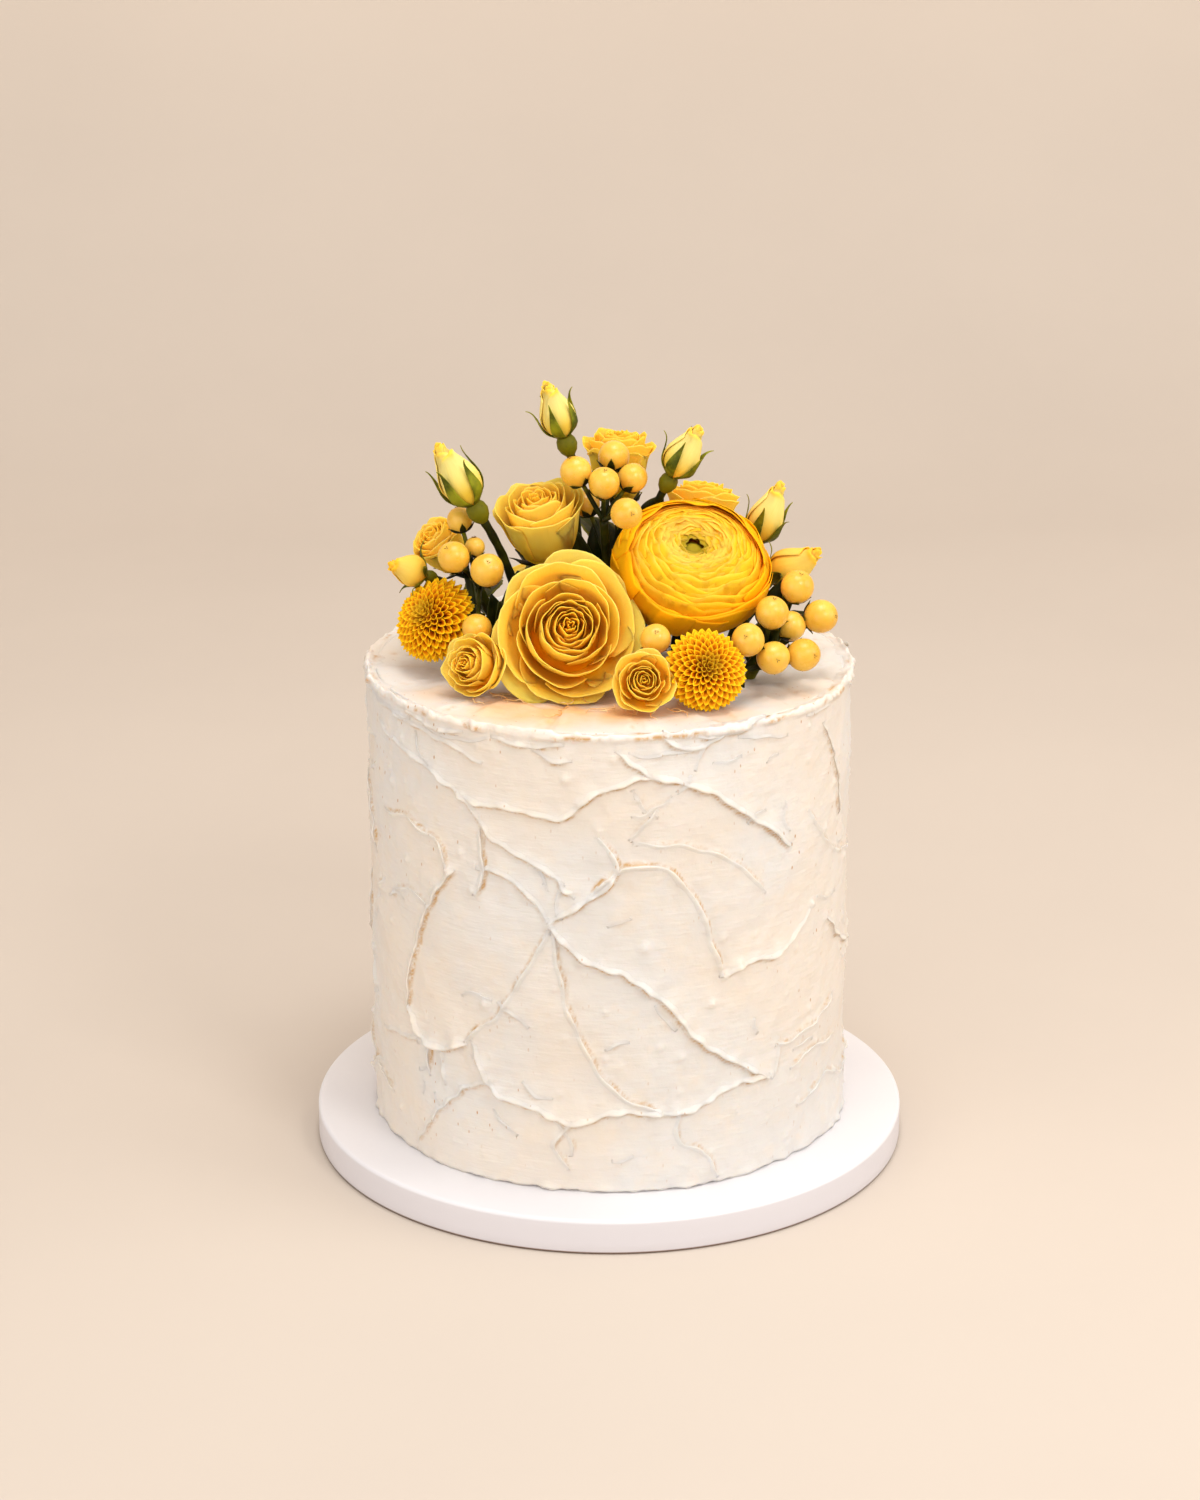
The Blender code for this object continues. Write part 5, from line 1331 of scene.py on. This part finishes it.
print("berries")
berries = [
    (5.2, (-50.9, -16.0, 39.8), "left", 0), (5.5, (-40.0, -20.0, 36.5), "left", 0),
    (4.8, (-43.2, -31.0, 20.3), "left", 0),
    (4.3, (-49.5, 0.0, 48.0), "left", 0), (3.3, (-44.4, -8.0, 41.0), "left", 0),
    (5.2, (-11.1, 0.0, 64.3), "middle", 0), (5.2, (-1.9, -4.0, 61.6), "middle", 0),
    (5.2, (1.4, 10.0, 67.1), "middle", 0),
    (4.9, (7.4, 3.0, 61.6), "middle", 0), (5.1, (5.2, -24.0, 56.8), "middle", 0), (4.5, (-7.6, 11.0, 50.6),
            "middle", 1),
    (5.5, (61.4, -16.0, 29.6), "right", 0), (5.5, (68.9, -20.0, 20.9), "right", 0),
    (5.4, (52.6, -30.0, 24.9), "right", 1),
    (4.9, (59.0, -22.0, 18.1), "right", 1), (5.4, (44.35, -42.6, 19.7), "right", 1),
    (5.4, (52.7, -39.0, 12.7), "right", 1),
    (5.4, (62.7, -34.0, 12.2), "right", 1), (4.9, (14.6, -44.5, 20.6), "front", 0),
]
stalks = {
    "left": [(-43.0, -8.0, 27.0), (-38.0, -2.0, 12.0), (-36.0, 0.0, 0.0)],
    "middle": [(-2.0, 0.0, 48.0), (-1.0, 4.0, 34.0), (0.0, 6.0, 0.0)],
    "right": [(57.0, -12.0, 17.0), (50.0, -22.0, 8.0), (46.0, -20.0, 0.0)],
    "front": [(13.6, -37.0, 12.0), (13.0, -34.0, 6.0), (13.0, -32.0, 0.0)],
}


def berryShader():
    material, tree, shader = newMaterial("berry_skin", Roughness=0.36, Subsurface_Weight=0.12,
                                         Subsurface_Scale=0.0015, Specular_IOR_Level=0.4,
                                         Coat_Weight=0.10, Coat_Roughness=0.3)
    shader.inputs["Subsurface Radius"].default_value = (1.0, 0.6, 0.2)
    place = objectPlace(tree)
    colour = blendColour(tree, spread(tree, noiseOf(tree, place, 110.0, 3.0), 0.35, 0.7),
                         rgb(236, 190, 72), rgb(228, 170, 46))
    colour = blendColour(tree, spread(tree, noiseOf(tree, place, 900.0, 2.0), 0.62, 0.74, 0.0, 0.25),
                         colour, rgb(206, 150, 50))
    tip = valueOf(tree, "tip")
    colour = blendColour(tree, spread(tree, tip, 0.86, 1.0, 0.0, 0.35), colour, rgb(222, 160, 50))
    colour = blendColour(tree, valueOf(tree, "scar"), colour, rgb(120, 70, 20))
    tree.links.new(colour, shader.inputs["Base Color"])
    tree.links.new(spread(tree, noiseOf(tree, place, 400.0, 2.0), 0.3, 0.7, 0.24, 0.40),
                   shader.inputs["Roughness"])
    tree.links.new(bumpOf(tree, noiseOf(tree, place, 500.0, 3.0), 0.06, 0.0004), shader.inputs["Normal"])
    return material


berryPaint = berryShader()


def makeBerry(name, node, radius, centre, fork, draw):
    centre, fork = onTop(*centre), onTop(*fork)
    aim = (centre - fork) / np.linalg.norm(centre - fork)
    polar = np.linspace(math.pi, 0, 24)
    dip = lambda a: 1 + 0.05 * np.cos(a) - 0.05 * np.exp(-(a / 0.16) ** 2)
    profile = [(radius * math.sin(a) * dip(a), radius * 1.02 * math.cos(a) * dip(a)) for a in polar]
    lumps = draw.uniform(0, tau, 3)
    wobble = lambda angle, height: 0.012 * radius * (np.sin(2 * angle + lumps[0])
                                                     + np.sin(3 * angle + lumps[1] + height / radius))
    points, loops, _ = turned(profile, 32, wobble)
    shells = [(points, loops, {"tip": (points[:, 2] / radius + 1) / 2, "scar": np.zeros(len(points))})]
    top = radius * 0.985
    crown = [(0, top - 0.6), (0.75, top - 0.45), (0.98, top - 0.02), (0.80, top + 0.26),
             (0.45, top + 0.12), (0, top + 0.05)]
    points, loops, _ = turned(crown, 9)
    shells.append((points, loops, {"tip": np.ones(len(points)), "scar": np.ones(len(points))}))
    for k in range(3):
        a = k * tau / 3 + draw.uniform(-0.4, 0.4)
        reaches = ((0.15, 0), (0.45, 0.4), (0.8, 0.6))
        spike = smoothPath([(r * math.cos(a), r * math.sin(a), top + h) for r, h in reaches], 5)
        points, loops, _ = tube(spike, np.linspace(0.16, 0.05, 5), 5)
        shells.append((points, loops, {"tip": np.ones(len(points)), "scar": np.ones(len(points))}))
    solid = standing(joined(shells), centre, aim + draw.uniform(-0.15, 0.15, 3))
    standsFor(makePiece(name, *solid[:2], berryPaint, solid[2]), "berry_skin", node)


def makeStalk(name, points):
    draw = np.random.default_rng(len(name))
    trunk = smoothPath([onTop(*p) for p in points], 24)
    shells = [tube(trunk, np.linspace(1.5, 1.8, 24), 12)]
    for radius, centre, grows, fork in berries:
        if grows != name:
            continue
        start, end = onTop(*points[fork]), onTop(*centre)
        aim = (end - start) / np.linalg.norm(end - start)
        stop = end - aim * (radius * 0.98)
        shells.append(tube(smoothPath([start, (start + stop) / 2 + draw.uniform(-0.4, 0.4, 3), stop], 10),
                           np.linspace(0.9, 0.75, 10), 8))
        hold = lambda h, r=radius: np.sqrt(np.maximum(r**2 - (r - h) ** 2, 0.3)) * 1.02 + 0.25
        for k in range(sepalCount):
            blade = sepalBlade(hold, radius * 0.62, 0.26 * radius, k * tau / sepalCount + start[0], 0.5,
                               rows=6)
            shells.append(standing(blade, end - aim * radius, aim))
    solid = joined(shells)
    standsFor(makePiece(f"berry_stalk_{name}_green", *solid[:2], stemPaint, solid[2]), "green_stem",
              f"berry_stalk_{name}")


berryDraw = np.random.default_rng(71)
for number, (radius, centre, grows, fork) in enumerate(berries, start=1):
    makeBerry(f"round_berry_{number:02d}", f"berry_{number:02d}", radius, centre, stalks[grows][fork],
              berryDraw)
for name, points in stalks.items():
    makeStalk(name, points)
